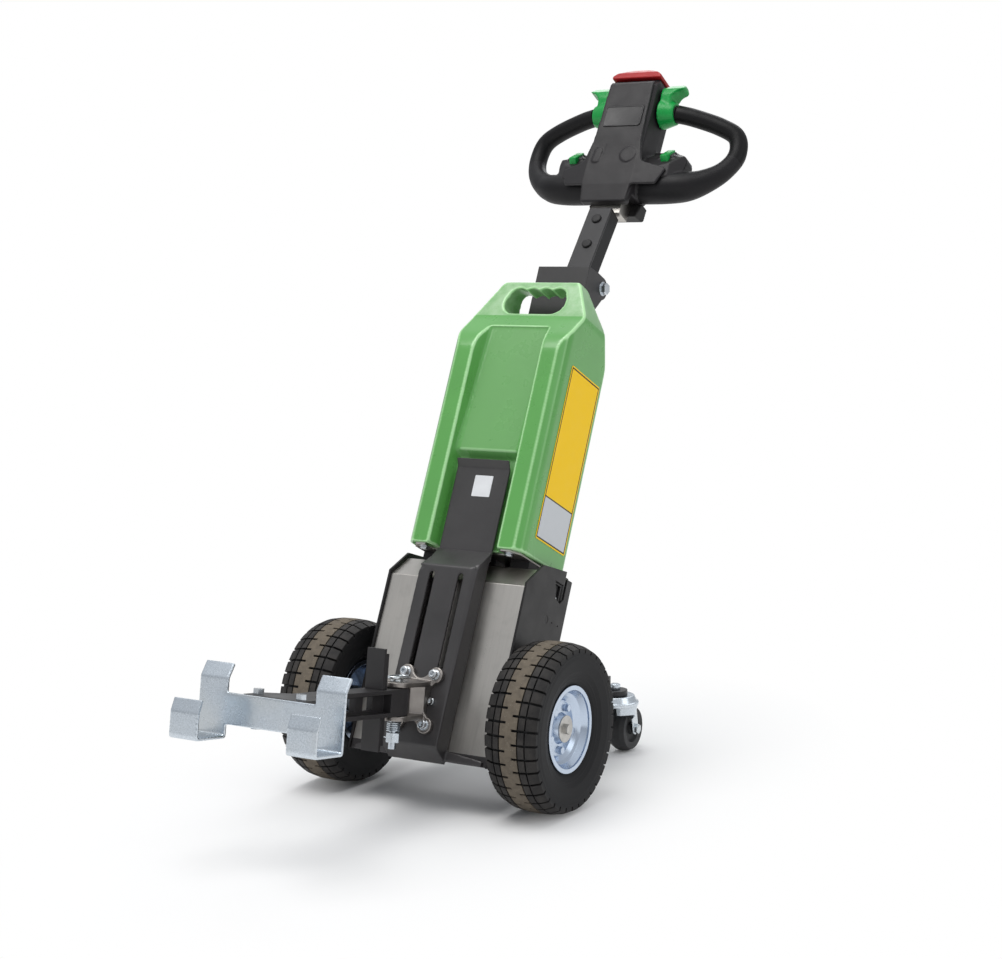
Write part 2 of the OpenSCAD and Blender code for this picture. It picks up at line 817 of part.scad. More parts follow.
module battery_cells() {
  wide = (case_w - 2 * cell_wall - 3 * gap) / 2;
  deep = case_back - floor_high_in - 2 * cell_wall - 2 * gap;
  color("dimgray") at_case() for (side = [0, 1])
    translate([-case_w / 2 + cell_wall + gap + side * (wide + gap), floor_high_in + cell_wall + gap, 0])
      cube([wide, deep, cell_top - gap]);
}

module battery_base() {
  half = case_w / 2 - base_inset;
  slot_half = column_w / 2 + column_room;
  color(stainless) at_case() {
    translate([0, 0, -base_t]) linear_extrude(base_t) polygon(both([
      [slot_half, case_back], [slot_half, case_d - base_inset], [half, case_d - base_inset],
      [half, 2 * leg_front_in], [half - leg_side_in, base_inset / 2],
      [channel_w / 2 + leg_gap, base_inset / 2], [channel_w / 2 + leg_gap, recess_in + upper_t]
    ]));
    for (side = [-1, 1]) translate([side * base_screw_x, base_screw_front, -base_t - base_screw_h])
      cylinder(r = base_screw_r, h = base_screw_h);
  }
}

module battery_socket() {
  color(plastic_black) at_chassis() translate([-plug_w / 2, 0, deck_h]) cube([plug_w, plug_d, cradle_h / 2]);
}

module battery_plug() {
  low = deck_h + cradle_h / 2 + gap;
  color(plastic_black) at_chassis() translate([-plug_w / 2, 0, low]) cube([plug_w, plug_d, case_low - base_t - low]);
}

// Tiller column

module column_flanges() {
  flange_t = column_behind + column_flange;
  for (side = [-1, 1]) translate([side * (column_w - column_t) / 2, 0, 0]) across(column_t) difference() {
    union() {
      polygon([
        [column_behind, column_foot_h], [flange_t, column_foot_h], [flange_t, pivot_s - 2 * ear_round - column_flange],
        [pivot_t + ear_round, pivot_s], [pivot_t, pivot_s + ear_round], [flange_t, pivot_s + ear_round],
        [column_behind, column_top]
      ]);
      translate([pivot_t, pivot_s]) circle(r = ear_round);
    }
    translate([pivot_t, pivot_s]) circle(r = pivot_bore_r);
  }
}

module tiller_column() {
  color(steel_black) at_chassis() difference() {
    union() {
      translate([-column_w / 2 + column_t, column_behind, column_foot_h])
        cube([column_w - 2 * column_t, column_t, column_top - column_foot_h]);
      column_flanges();
    }
    for (side = [-1, 1], row = [0, 1])
      translate([side * column_bolt_x, column_behind - over, column_foot_h + column_flange + row * column_bolt_pitch])
        rotate([-90, 0, 0]) cylinder(r = column_bolt_r, h = column_t + 2 * over);
  }
}

module column_bolts() {
  color(zinc) at_chassis() for (side = [-1, 1], row = [0, 1])
    translate([side * column_bolt_x, column_behind + column_t, column_foot_h + column_flange + row * column_bolt_pitch])
      rotate([-90, 0, 0]) {
        cylinder(r = 1.7 * column_bolt_r, h = column_bolt_r, $fn = 6);
        translate([0, 0, -column_t]) cylinder(r = column_bolt_r, h = column_t);
      }
}

module pivot_bolt() {
  half = column_w / 2;
  color(zinc) at_pivot() {
    cross_bar(pivot_r, 2 * (half + washer_t));
    for (side = [-1, 1]) {
      translate([side * (half + washer_t / 2), 0, 0]) cross_bar(washer_r, washer_t);
      translate([side * (half + washer_t + hex_h / 2), 0, 0]) cross_bar(hex_r, hex_h, 6);
    }
  }
}

// Drive units

module gearbox(side) {
  color("gray") at_axle() difference() {
    union() {
      translate([side * (side_x - gearbox_w / 2), 0, 0]) cross_bar(gearbox_r, gearbox_w);
      translate([side * (side_x + plate_t / 2), 0, 0]) cross_bar(bearing_r, plate_t);
    }
    translate([side * side_x, 0, 0]) cross_bar(shaft_r + run, 2 * gearbox_w);
  }
}

module motor(side) {
  color("silver") at_axle() translate([side * (side_x - gearbox_w - motor_w / 2), 0, 0]) cross_bar(motor_r, motor_w);
}

module drive_shaft(side) {
  inner = side_x - gearbox_w + gap;
  end_x = track_half + rim_disc_h;
  cap_x = track_half + hub_face;
  color(zinc) at_axle() {
    translate([side * (inner + end_x) / 2, 0, 0]) cross_bar(shaft_r, end_x - inner);
    translate([side * (end_x + cap_x) / 2, 0, 0]) cross_bar(shaft_r / 2, cap_x - end_x);
    translate([side * (cap_x + washer_t / 2), 0, 0]) cross_bar(hub_cap_r, washer_t);
    translate([side * (cap_x + washer_t + wheel_bolt_head / 2), 0, 0]) cross_bar(hex_r * 0.8, wheel_bolt_head, 6);
  }
}

module gearbox_left() gearbox(-1);
module gearbox_right() gearbox(1);
module motor_left() motor(-1);
module motor_right() motor(1);
module drive_shaft_left() drive_shaft(-1);
module drive_shaft_right() drive_shaft(1);

module controller() {
  color("dimgray") at_chassis() translate([-drive_box_w / 2, column_behind - rear_cover_t - drive_box_d, drive_box_low])
    cube([drive_box_w, drive_box_d, drive_box_h]);
}

// Wheels

module tyre(side) {
  half = tyre_w / 2;
  side_points = sized(tyre_shares, tyre_r - rim_r, half, [rim_r, 0]);
  floor_r = tyre_r - tread_depth;
  color(rubber_black) at_wheel(side) difference() {
    rotate_extrude($fn = 96) polygon([
      each side_points, [tyre_r, 0],
      each [for (i = [len(side_points) - 1 : -1 : 0]) [side_points[i][0], -side_points[i][1]]]
    ]);
    for (h = [-ring_far, -ring_near, ring_near, ring_far]) translate([0, 0, h - ring_groove_w / 2]) difference() {
      cylinder(r = tyre_r + over, h = ring_groove_w);
      translate([0, 0, -over]) cylinder(r = floor_r, h = ring_groove_w + 2 * over);
    }
    for (edge = [-1, 1], i = [0 : tread_count - 1]) rotate((i + (edge > 0 ? 0.5 : 0)) * 360 / tread_count)
      translate([0, groove_w / 2, 0]) rotate([90, 0, 0]) linear_extrude(groove_w) polygon([
        [floor_r, edge * rib_half], [floor_r, edge * ring_far], [tyre_r - shoulder_depth, edge * (half + over)],
        [tyre_r + over, edge * (half + over)], [tyre_r + over, edge * rib_half]
      ]);
  }
}

module rim(side) {
  bead = rim_r - rim_lip;
  color(zinc) at_wheel(side) {
    rotate_extrude($fn = 96) polygon([
      [bead, rim_flange_h], [rim_r, rim_flange_h], [rim_r, -rim_flange_h], [bead, -rim_flange_h], [bead, -rim_flange_h + rim_t],
      [rim_barrel_r, -rim_flange_h + 4 * rim_t], [rim_barrel_r, rim_disc_h - rim_t], [hub_r, rim_disc_h - 2 * rim_t],
      [hub_r, -rim_disc_h], [shaft_r + run, -rim_disc_h], [shaft_r + run, rim_disc_h], [shaft_r / 2 + run, rim_disc_h],
      [shaft_r / 2 + run, hub_face], [hub_r - hub_step, hub_face], [hub_r, rim_disc_h + hub_flare],
      [rim_barrel_r - rim_dish, rim_disc_h],
      [rim_barrel_r - rim_curl, rim_disc_h + rim_curl], [rim_barrel_r, rim_flange_h - 4 * rim_t], [bead, rim_flange_h - rim_t]
    ]);
    for (i = [0 : wheel_bolt_count - 1]) rotate(i * 360 / wheel_bolt_count)
      translate([wheel_bolt_r, 0, rim_disc_h]) cylinder(r = wheel_bolt_head, h = wheel_bolt_head, $fn = 6);
  }
}

module tyre_left() tyre(-1);
module tyre_right() tyre(1);
module rim_left() rim(-1);
module rim_right() rim(1);

// Casters and the arms that carry them

module caster_arm(side) {
  low = swivel_top;
  in_x = side_x - gap;
  from_y = arm_root - swivel_behind;
  color(steel_black) at_swivel(side) difference() {
    union() {
      translate([0, 0, low]) cylinder(r = arm_boss_r, h = arm_plate);
      translate([side > 0 ? -arm_boss_r : swivel_half - in_x, from_y, low])
        cube([in_x - swivel_half + arm_boss_r, -from_y, arm_plate]);
      translate([side > 0 ? in_x - swivel_half - arm_web_t : swivel_half - in_x, from_y, low])
        cube([arm_web_t, -from_y - 1.6 * arm_boss_r, arm_plate + arm_web_h]);
    }
    translate([0, 0, low - over]) cylinder(r = caster_post_r + run, h = arm_plate + 2 * over);
    translate([0, -swivel_behind, axle_z]) rotate([-lean, 0, 0]) translate([-side_x, column_behind - 2 * deck_h, -deck_h])
      cube([2 * side_x, 2 * deck_h, 2 * deck_h]);
  }
}

module caster_arm_left() caster_arm(-1);
module caster_arm_right() caster_arm(1);

module caster_brace() {
  reach = swivel_half - arm_boss_r;
  color(steel_black) translate([-reach, axle_y + swivel_behind - 4 * arm_boss_r, swivel_top])
    cube([2 * reach, 2 * arm_boss_r, arm_plate]);
}

module caster_fork(side) {
  half = caster_w / 2 + fork_gap;
  top = swivel_top - raceway_t - gap;
  color(zinc) at_swivel(side) {
    difference() {
      union() {
        translate([0, 0, top - fork_t]) cylinder(r = raceway_r, h = fork_t);
        translate([0, 0, top]) cylinder(r1 = raceway_r, r2 = raceway_r * 0.8, h = raceway_t);
        for (edge = [-1, 1]) translate([edge * (half + fork_t / 2), 0, 0]) across(fork_t) polygon([
          [-raceway_r * 0.7, top], [raceway_r * 0.95, top],
          each sized(fork_shares, fork_ear, fork_ear, [caster_trail, caster_r]),
          each sized(fork_front_shares, raceway_r, top - caster_r, [0, top])
        ]);
      }
      translate([0, 0, top - fork_t - over]) cylinder(r = caster_post_r + over, h = fork_t + over - gap);
    }
    translate([0, caster_trail, caster_r]) {
      cross_bar(caster_bore_r, 2 * half + 4 * fork_t);
      for (edge = [-1, 1]) translate([edge * (half + 2 * fork_t), 0, 0]) cross_bar(1.8 * caster_bore_r, 2 * fork_t, 6);
    }
    translate([0, 0, top]) cylinder(r = caster_post_r, h = raceway_t + gap + arm_plate + caster_post_out);
    translate([0, 0, swivel_top + arm_plate + gap]) cylinder(r = 2 * caster_post_r, h = caster_nut_h, $fn = 6);
  }
}

module caster_wheel(side) {
  half = caster_w / 2;
  half_section = [
    [caster_bore_r + run, half], [caster_bore_r + caster_hub_t, half],
    [caster_bore_r + caster_hub_t + caster_lip, half - caster_dish],
    [caster_hub_r, half - caster_dish - caster_lip], [caster_hub_r + 2 * caster_lip, half - caster_lip],
    [caster_r - caster_round, half], [caster_r - caster_lip, half / 2]
  ];
  color("dimgray") at_swivel(side) translate([0, caster_trail, caster_r])
    rotate([0, 90, 0]) rotate_extrude($fn = 72) polygon([
    each half_section, [caster_r, 0],
    each [for (i = [len(half_section) - 1 : -1 : 0]) [half_section[i][0], -half_section[i][1]]]
  ]);
}

module caster_fork_left() caster_fork(-1);
module caster_fork_right() caster_fork(1);
module caster_wheel_left() caster_wheel(-1);
module caster_wheel_right() caster_wheel(1);

// Tiller arm

module tiller_arm() {
  back = arm_d - arm_front;
  front = arm_front - arm_plate_t;
  color(plastic_black) at_arm() difference() {
    across(arm_w) polygon([
      [-front, -arm_foot / 2], [-front, arm_len], [back, arm_len], [back, -arm_foot / 2], [back / 2, -arm_foot],
      [-front + arm_nip, -arm_foot]
    ]);
    cross_bar(pivot_bore_r, arm_w + 2 * over);
  }
}

module arm_front_plate() {
  back = -arm_front + arm_plate_t;
  color(plastic_black) at_arm() {
    translate([-arm_w / 2, -arm_front, -arm_foot]) cube([arm_w, arm_plate_t, arm_len + arm_foot]);
    for (h = [plug_low, plug_high]) translate([0, -arm_front, h]) rotate([90, 0, 0]) {
      rotate_extrude() polygon([
        [0, 0], [plug_r, 0], [plug_r * 0.85, plug_rise * 0.6], [plug_r * 0.5, plug_rise * 0.95], [0, plug_rise]
      ]);
    }
  }
}

module pivot_bushes() {
  long = column_w / 2 - column_t - arm_w / 2 - gap;
  color(zinc) at_pivot() for (side = [-1, 1]) translate([side * (arm_w / 2 + long / 2), 0, 0]) difference() {
    cross_bar(bush_r, long);
    cross_bar(pivot_bore_r, long + 2 * over);
  }
}

// Control head

// A point of the arm, as depth and height in the head's frame
function on_arm(along, back) = [
  along * sin(arm_lean - head_lean) + back * cos(arm_lean - head_lean),
  along * cos(arm_lean - head_lean) - back * sin(arm_lean - head_lean)
];

// The front of the head seen from above, moved back by a depth
function face_plan(back) = [
  [0, face_v + back], [face_half, face_v + back], [wing_half + over, wing_v + back]
];

module cover_outline() polygon(rounded(both([
  [stem_low_half, face_low], [face_half, stem_step], [wing_low_half, wing_low], [wing_half, wing_high],
  [throat_half, throat_w], each sized(face_side_shares, face_half, face_len, [0, face_low])
]), back_again(cover_round_shares)));

module head_cover() {
  color(plastic_black) at_head() {
    difference() {
      intersection() {
        from_front(-over, wing_v + cover_skin + over) cover_outline();
        linear_extrude(face_high + over) polygon(both([each face_plan(0), [wing_half + over, wing_v + cover_skin],
          [face_half, face_v + cover_skin], [0, face_v + cover_skin]]));
        across(2 * wing_half + 2 * over) polygon([
          [face_v + stem_back, face_low], [face_v, stem_step], [face_v, face_high - top_start],
          [face_v + top_slope, face_high + over], [wing_v + cover_skin + over, face_high + over],
          [wing_v + cover_skin + over, face_low]
        ]);
      }
      from_front(face_v - over, face_v + panel_sink) panel_outline(panel_room);
    }
    translate([boss_x, face_v, boss_w]) rotate([90, 0, 0]) cylinder(r = boss_r, h = boss_out);
    from_front(face_v - boss_out, face_v)
      polygon(rounded(sized(slant_boss_shares, boss_r, boss_r, [-boss_x, boss_w]), slant_boss_round_shares));
  }
}

module panel_outline(room) {
  half = panel_half + room;
  polygon(soft([[-half, panel_low - room], [half, panel_low - room], [half, panel_high + room], [-half, panel_high + room]],
    [panel_round, panel_round, panel_round, panel_round]));
}

module name_panel() {
  color("black") at_head() from_front(face_v + panel_sink - panel_t, face_v + panel_sink) panel_outline(0);
}

module trunk() {
  front = face_v + cover_skin + gap;
  top = face_high - gap;
  intersection() {
    from_front(0, trunk_back + over) polygon(both([
      [stem_low_half, face_low], [face_half, stem_step], [trunk_half, trunk_full_w], [trunk_half, top - trunk_round_h],
      [trunk_half - trunk_nip, top]
    ]));
    linear_extrude(face_high) polygon(both([
      [0, front], [face_half - trunk_nip, front], [face_half, front + face_nip], [trunk_half, trunk_full_v],
      [trunk_half, trunk_back - trunk_nip], [trunk_half - trunk_nip, trunk_back]
    ]));
    across(4 * trunk_half) polygon([
      [front, face_low], [front, face_high - trunk_round_h], [front + top_slope, top], [trunk_back - trunk_crown, top],
      [trunk_back, top - trunk_crown], [trunk_back, wing_low], [trunk_back - trunk_foot, under_high + gap],
      [bracket_front_v, under_high + gap], [bracket_front_v - gap, face_low]
    ]);
  }
}

module shoulders() {
  intersection() {
    from_front(0, trunk_back) polygon(both([
      for (p = shoulder_shares) [p[0] * shoulder_half, limb_w + p[1] * shoulder_len]
    ]));
    linear_extrude(face_high) polygon(both([
      each face_plan(cover_skin + gap), [shoulder_half, wing_v + cover_skin + gap + shoulder_flare],
      [shoulder_half, shoulder_v], [0, shoulder_v]
    ]));
    across(4 * shoulder_half) polygon(sized(shoulder_side_shares, trunk_back, shoulder_len, [0, limb_w]));
  }
}

module limb_stubs() {
  intersection() {
    for (side = [-1, 1]) translate([side * limb_root, limb_v, limb_w])
      rotate([0, side * (90 - limb_rise), side * limb_sweep]) cylinder(r1 = limb_r, r2 = limb_end_r, h = 4 * limb_r);
    translate([-stub_end, 0, 0]) cube([2 * stub_end, trunk_back, face_high]);
  }
}

module head_housing() {
  front = face_v + cover_skin + gap;
  color(plastic_black) at_head() difference() {
    union() {
      trunk();
      shoulders();
      limb_stubs();
      translate([0, loop_v, lever_w]) cross_bar(spigot_r, 2 * spigot_end);
    }
    for (side = [-1, 1]) at_button(side) translate([-button_len / 2 - gap, -button_wide / 2 - gap, -button_deep])
      cube([button_len + 2 * gap, button_wide + 2 * gap, 4 * button_deep]);
    translate([0, 0, -over]) linear_extrude(face_high) polygon(both([
      [0, -over], [wing_half + over, -over], [wing_half + over, wing_v + cover_skin + 2 * gap], [face_half, front], [0, front]
    ]));
  }
}

module push_button(side) {
  color(lever_green) at_head() at_button(side)
    translate([-button_len / 2, -button_wide / 2, -button_deep + button_travel + gap]) cube([button_len, button_wide, button_h]);
}

module push_button_left() push_button(-1);
module push_button_right() push_button(1);

module belly_button() {
  low = face_high;
  skirt_v = trunk_back + pad_travel + 2 * gap;
  color(button_red) at_head() intersection() {
    across(2 * pad_half) polygon(rounded([
      each sized(pad_side_shares, pad_back, pad_h, [0, low]), [pad_back, low - pad_skirt],
      [skirt_v, low - pad_skirt], [skirt_v, low]
    ], pad_round_shares));
    from_front(0, pad_back + over) polygon(both([
      [pad_half, low - pad_skirt - over], each sized(pad_front_shares, pad_half, pad_h, [0, low])
    ]));
  }
}

module head_bracket() {
  low = on_arm(arm_len, 0)[1] + bracket_lift;
  color(stainless) at_head() across(2 * bracket_half)
    polygon([[bracket_front_v, low], [bracket_front_v, under_high], [bracket_back_v, under_high], [bracket_back_v, low]]);
}

module under_cover() {
  color(plastic_black) at_head() intersection() {
    from_front(bracket_back_v, under_back_v) polygon(both([[under_half, under_low], [under_top_half, under_high]]));
    across(4 * under_half) polygon(soft([
      [bracket_back_v, under_low], [under_back_v - under_round, under_low + under_round], [under_top_v, under_high],
      [bracket_back_v, under_high]
    ], [0, under_round, 0, 0]));
  }
}

// Hand loops

function loop_points(side) = spline([for (s = loop_shares)
  [side * s[0] * loop_half, loop_v + s[2] * loop_sweep, limb_w + s[1] * loop_up]], loop_step_count);
function loop_radii() = [for (p = spline([for (s = loop_shares) [s[3], 0]], loop_step_count))
  grip_r + (limb_r - grip_r) * max(0, min(1, p[0]))];

// Which way a hand loop runs at each of its points: square to the head at both ends
function loop_ways(side) =
  let (p = loop_points(side), n = len(p))
  [for (i = [0 : n - 1]) i == 0 ? [side, 0, 0] : i == n - 1 ? [-side, 0, 0] : unit(p[i + 1] - p[i - 1])];

module loop_part(side, first, last) {
  points = loop_points(side);
  radii = loop_radii();
  ways = loop_ways(side);
  span = [first : last];
  tube([for (i = span) points[i]], [for (i = span) radii[i]], [for (i = span) ways[i]], loop_side_count, [0, side, 0]);
}

module handle(side) {
  color(plastic_black) at_head() difference() {
    loop_part(side, seam_count, len(loop_shares) * loop_step_count - loop_step_count);
    translate([-stub_end - gap, 0, 0]) cube([2 * (stub_end + gap), trunk_back, face_high]);
  }
}

module grip_left() color(rubber_black) at_head() loop_part(-1, 0, seam_count);
module grip_right() color(rubber_black) at_head() loop_part(1, 0, seam_count);
module handle_left() handle(-1);
module handle_right() handle(1);

module thumb_lever(side) {
  width = lever_tip_x - lever_in_x;
  color(lever_green) at_head() translate([0, loop_v, lever_w]) difference() {
    union() {
      translate([side * lever_in_x, 0, 0]) rotate([0, side * 90, 0]) cylinder(r1 = lever_hub_r, r2 = lever_rim_r, h = lever_hub_w);
      intersection() {
        translate([side * (lever_in_x + width / 2), 0, 0]) across(width)
          polygon(rounded(sized(lever_side_shares, lever_rim_r, lever_tip_w), lever_side_round_shares));
        from_front(-2 * lever_hub_r, lever_hub_r) scale([side, 1])
          polygon(rounded(sized(lever_front_shares, width, lever_tip_w, [lever_in_x, 0]), lever_front_round_shares));
      }
    }
    cross_bar(spigot_r + run, 4 * spigot_end);
  }
}

module thumb_lever_left() thumb_lever(-1);
module thumb_lever_right() thumb_lever(1);

// Hitch

module casting_plate() {
  bx = casting_bolt_x;
  bh = casting_bolt_h;
  r = casting_ear_r;
  waist_x = (bx * bx + bh * bh - pow(r - casting_waist, 2)) / (2 * (bx + r - casting_waist));
  saddle_h = (bx * bx + bh * bh - pow(r - casting_saddle, 2)) / (2 * (bh + r - casting_saddle));
  difference() {
    union() {
      polygon([[-bx, -bh], [bx, -bh], [bx, bh], [-bx, bh]]);
      for (x = [-1, 1], h = [-1, 1]) translate([x * bx, h * bh]) circle(r = r);
    }
    for (x = [-1, 1]) translate([x * waist_x, 0]) circle(r = waist_x - casting_waist);
    for (h = [-1, 1]) translate([0, h * saddle_h]) circle(r = saddle_h - casting_saddle);
    for (x = [-1, 1], h = [-1, 1]) translate([x * bx, h * bh]) circle(r = bolt_r + run);
  }
}

module lug(low) {
  root_y = hitch_ahead + strap_d;
  translate([0, 0, low]) linear_extrude(lug_t) difference() {
    union() {
      circle(r = lug_r);
      polygon([[-lug_r, 0], [lug_r, 0], [lug_r, root_y], [-lug_r, root_y]]);
    }
    circle(r = pin_r + run);
  }
}

module behind_strap() at_chassis() translate([-side_x, -strap_face, -deck_h]) cube([2 * side_x, 2 * strap_face, 2 * deck_h]);

module hitch_casting() {
  color(cast_grey) difference() {
    union() {
      at_chassis() from_front(-strap_face - casting_t, -strap_face) casting_plate();
      at_hitch() {
        lug(lug_gap);
        lug(-lug_gap - lug_t);
        translate([0, 0, -lug_gap - over]) linear_extrude(2 * lug_gap + 2 * over)
          polygon(both([[lug_root, 2 * hitch_ahead], [lug_root, hitch_ahead - ridge_foot], [ridge_half, hitch_ahead - ridge_d]]));
      }
    }
    behind_strap();
  }
}

module casting_bolts() {
  color(zinc) at_chassis() for (x = [-1, 1], h = [-1, 1])
    translate([x * casting_bolt_x, -strap_face - casting_t, h * casting_bolt_h]) rotate([90, 0, 0]) {
      cylinder(r = bolt_head_r, h = bolt_head_h, $fn = 6);
      translate([0, 0, -casting_t - strap_t]) cylinder(r = bolt_r, h = casting_t + strap_t);
    }
}

module hitch_arm() {
  far = hook_ahead - tow_head_d;
  neck = tow_head_half - tow_half;
  color(steel_black) at_hitch() difference() {
    linear_extrude(2 * tow_half, center = true) {
      circle(r = tow_half);
      polygon(both([[tow_half, 0], [tow_half, neck - far], [tow_head_half, -far], [tow_head_half, -hook_ahead]]));
    }
    for (side = [-1, 1]) translate([side * (tow_web / 2 + tow_half), -far / 2 - tow_half, 0])
      cube([2 * tow_half, far - tow_neck, 2 * (tow_half - tow_flange)], center = true);
    for (i = [0 : tow_hole_count - 1]) translate([0, -tow_hole_first - i * tow_hole_pitch, 0])
      cube([2 * tow_half, tow_hole_w, tow_hole_h], center = true);
    cylinder(r = pin_r + pin_room, h = 4 * tow_half, center = true);
    for (side = [-1, 1]) translate([side * hook_bolt_x, hook_bolt_in - hook_ahead, 0])
      cylinder(r = bolt_r + run, h = 4 * tow_half, center = true);
  }
}

module bumper_plate() {
  color(steel_black) at_hitch() difference() {
    union() {
      from_front(-bumper_ahead, -bumper_ahead + bumper_t) translate([-bumper_half, -bumper_low])
        square([2 * bumper_half, bumper_low + bumper_high]);
      from_front(-bumper_ahead + bumper_t, -bumper_ahead + bumper_t + backer_t) translate([-backer_half, -backer_low])
        square([2 * backer_half, backer_low + backer_high]);
    }
    cube([4 * tow_half, 4 * bumper_ahead, 2 * tow_half], center = true);
  }
}

module hook_strip() {
  polygon(fold([
    [-hook_ahead + top_flange * sin(top_fold), upright_high + top_flange * cos(top_fold)], [-hook_ahead, upright_high],
    [-hook_ahead, -cradle_low], [-lip_ahead - hook_t, -cradle_low], [-lip_ahead - hook_t, lip_high],
    [-lip_ahead - hook_t + lip_flange * sin(lip_fold), lip_high + lip_flange * cos(lip_fold)]
  ], -hook_t, sheet_bend));
}

module hook_plate() {
  half = hook_w / 2;
  color(zinc) at_hitch() {
    for (side = [-1, 1]) translate([side * (half - upright_w / 2), 0, 0]) across(upright_w) hook_strip();
    from_front(-hook_ahead - hook_t, -hook_ahead) translate([-half + upright_w, -bar_low])
      square([2 * (half - upright_w), bar_low + bar_high]);
  }
}

module hook_bolts() {
  color(zinc) at_hitch() for (side = [-1, 1]) translate([side * hook_bolt_x, hook_bolt_in - hook_ahead, 0]) {
    cylinder(r = bolt_r, h = 2 * (tow_half + hook_bolt_out), center = true);
    translate([0, 0, tow_half]) cylinder(r = bolt_head_r, h = bolt_head_r, $fn = 6);
    translate([0, 0, -tow_half - bolt_head_r]) cylinder(r = bolt_head_r, h = bolt_head_r, $fn = 6);
  }
}

module hitch_pin() {
  lug_top = lug_gap + lug_t;
  color(zinc) at_hitch() {
    translate([0, 0, -pin_low]) cylinder(r = pin_r, h = pin_low + pin_top);
    translate([0, 0, lug_top + gap]) cylinder(r = pin_collar_r, h = pin_top - lug_top - gap);
    translate([0, 0, -pin_nut_top - pin_nut_h]) cylinder(r = pin_nut_r, h = pin_nut_h, $fn = 6);
    translate([0, 0, -pin_nut_top]) cylinder(r = pin_nut_r, h = spring_end / 2);
    translate([0, 0, pin_top + ring_t / 2]) pin_ring();
  }
}

module pin_ring() {
  mid = ring_half - ring_t / 2;
  for (side = [-1, 1]) translate([side * mid, (ring_back - ring_front) / 2, 0])
    rotate([90, 0, 0]) cylinder(r = ring_t / 2, h = ring_back + ring_front - 2 * ring_half, center = true);
  translate([0, ring_back - ring_half, 0]) rotate_extrude(angle = 180) translate([mid, 0]) circle(r = ring_t / 2, $fn = 24);
  translate([0, ring_half - ring_front, 0]) rotate(180) rotate_extrude(angle = 180) translate([mid, 0])
    circle(r = ring_t / 2, $fn = 24);
}

module pin_spring() {
  top = -lug_gap - lug_t - spring_end;
  low = -pin_nut_top + spring_end + spring_end / 2;
  n = spring_turn_count * spring_ring_count;
  points = [for (i = [0 : n]) let (a = 360 * i / spring_ring_count)
    [spring_r * cos(a), spring_r * sin(a), low + (top - low) * i / n]];
  ways = [for (i = [0 : n]) unit(points[min(i + 1, n)] - points[max(i - 1, 0)])];
  echo(least_spring_gap = (top - low) / spring_turn_count - 2 * spring_wire);
  color(zinc) at_hitch() tube(points, [for (p = points) spring_wire], ways, 6, [0, 0, 1]);
}

side_plate_left();
side_plate_right();
front_cover();
rear_cover();
belly_pan();
center_strap();
upper_plate();
battery_deck();
battery_cradle();
battery_socket();
tiller_column();
column_bolts();
gearbox_left();
gearbox_right();
motor_left();
motor_right();
controller();
drive_shaft_left();
drive_shaft_right();
tyre_left();
tyre_right();
rim_left();
rim_right();
caster_arm_left();
caster_arm_right();
caster_brace();
caster_fork_left();
caster_fork_right();
caster_wheel_left();
caster_wheel_right();
battery_case();
battery_cells();
battery_base();
battery_plug();
tiller_arm();
arm_front_plate();
pivot_bushes();
pivot_bolt();
head_housing();
head_cover();
name_panel();
head_bracket();
under_cover();
handle_left();
handle_right();
grip_left();
grip_right();
belly_button();
thumb_lever_left();
thumb_lever_right();
push_button_left();
push_button_right();
hitch_casting();
casting_bolts();
hitch_arm();
bumper_plate();
hook_plate();
hook_bolts();
hitch_pin();
pin_spring();
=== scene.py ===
import json
import math

import bpy
from bpy.props import FloatProperty, FloatVectorProperty, IntProperty, PointerProperty
from mathutils import Matrix, Vector


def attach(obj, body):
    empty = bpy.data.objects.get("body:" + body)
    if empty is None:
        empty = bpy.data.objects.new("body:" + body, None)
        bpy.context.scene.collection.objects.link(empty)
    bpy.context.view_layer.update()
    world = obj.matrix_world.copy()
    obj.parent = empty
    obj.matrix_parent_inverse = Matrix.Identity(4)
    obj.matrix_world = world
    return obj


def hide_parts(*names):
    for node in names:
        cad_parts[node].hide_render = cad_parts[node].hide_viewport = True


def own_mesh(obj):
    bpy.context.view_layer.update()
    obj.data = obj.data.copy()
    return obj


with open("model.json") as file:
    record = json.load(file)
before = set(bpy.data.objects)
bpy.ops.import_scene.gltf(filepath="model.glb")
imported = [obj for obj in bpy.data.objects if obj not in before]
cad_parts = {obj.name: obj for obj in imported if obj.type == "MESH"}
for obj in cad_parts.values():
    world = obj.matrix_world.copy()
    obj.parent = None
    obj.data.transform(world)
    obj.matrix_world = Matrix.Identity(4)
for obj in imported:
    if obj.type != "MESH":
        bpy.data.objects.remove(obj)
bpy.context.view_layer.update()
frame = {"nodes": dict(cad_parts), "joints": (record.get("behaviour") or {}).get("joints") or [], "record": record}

bl_info = {
    "name": "Electric tug dressing",
    "version": (1, 0, 0),
    "blender": (4, 5, 0),
    "location": "View3D > Sidebar > Tug",
    "description": "Dresses the walk behind electric tug with its finishes, soft edges and small fittings",
    "category": "Object",
}

MM = 0.001
joints = {joint["name"]: joint for joint in frame["joints"]}


def joint_place(name):
    """Where a joint stands, in metres."""
    return Vector(joints[name]["pos_m"])


def lean_of(axis):
    """How far an upward axis leans back from upright, in radians."""
    return math.atan2(axis[1], axis[2])


AXLE = Vector((0, joint_place("wheel_left_spin").y, joint_place("wheel_left_spin").z))
PIVOT = joint_place("tiller_tilt")
HITCH = joint_place("hitch_swing")
LEAN = lean_of(joints["battery_lift"]["axis"])
HITCH_RISE = lean_of(joints["hitch_swing"]["axis"])
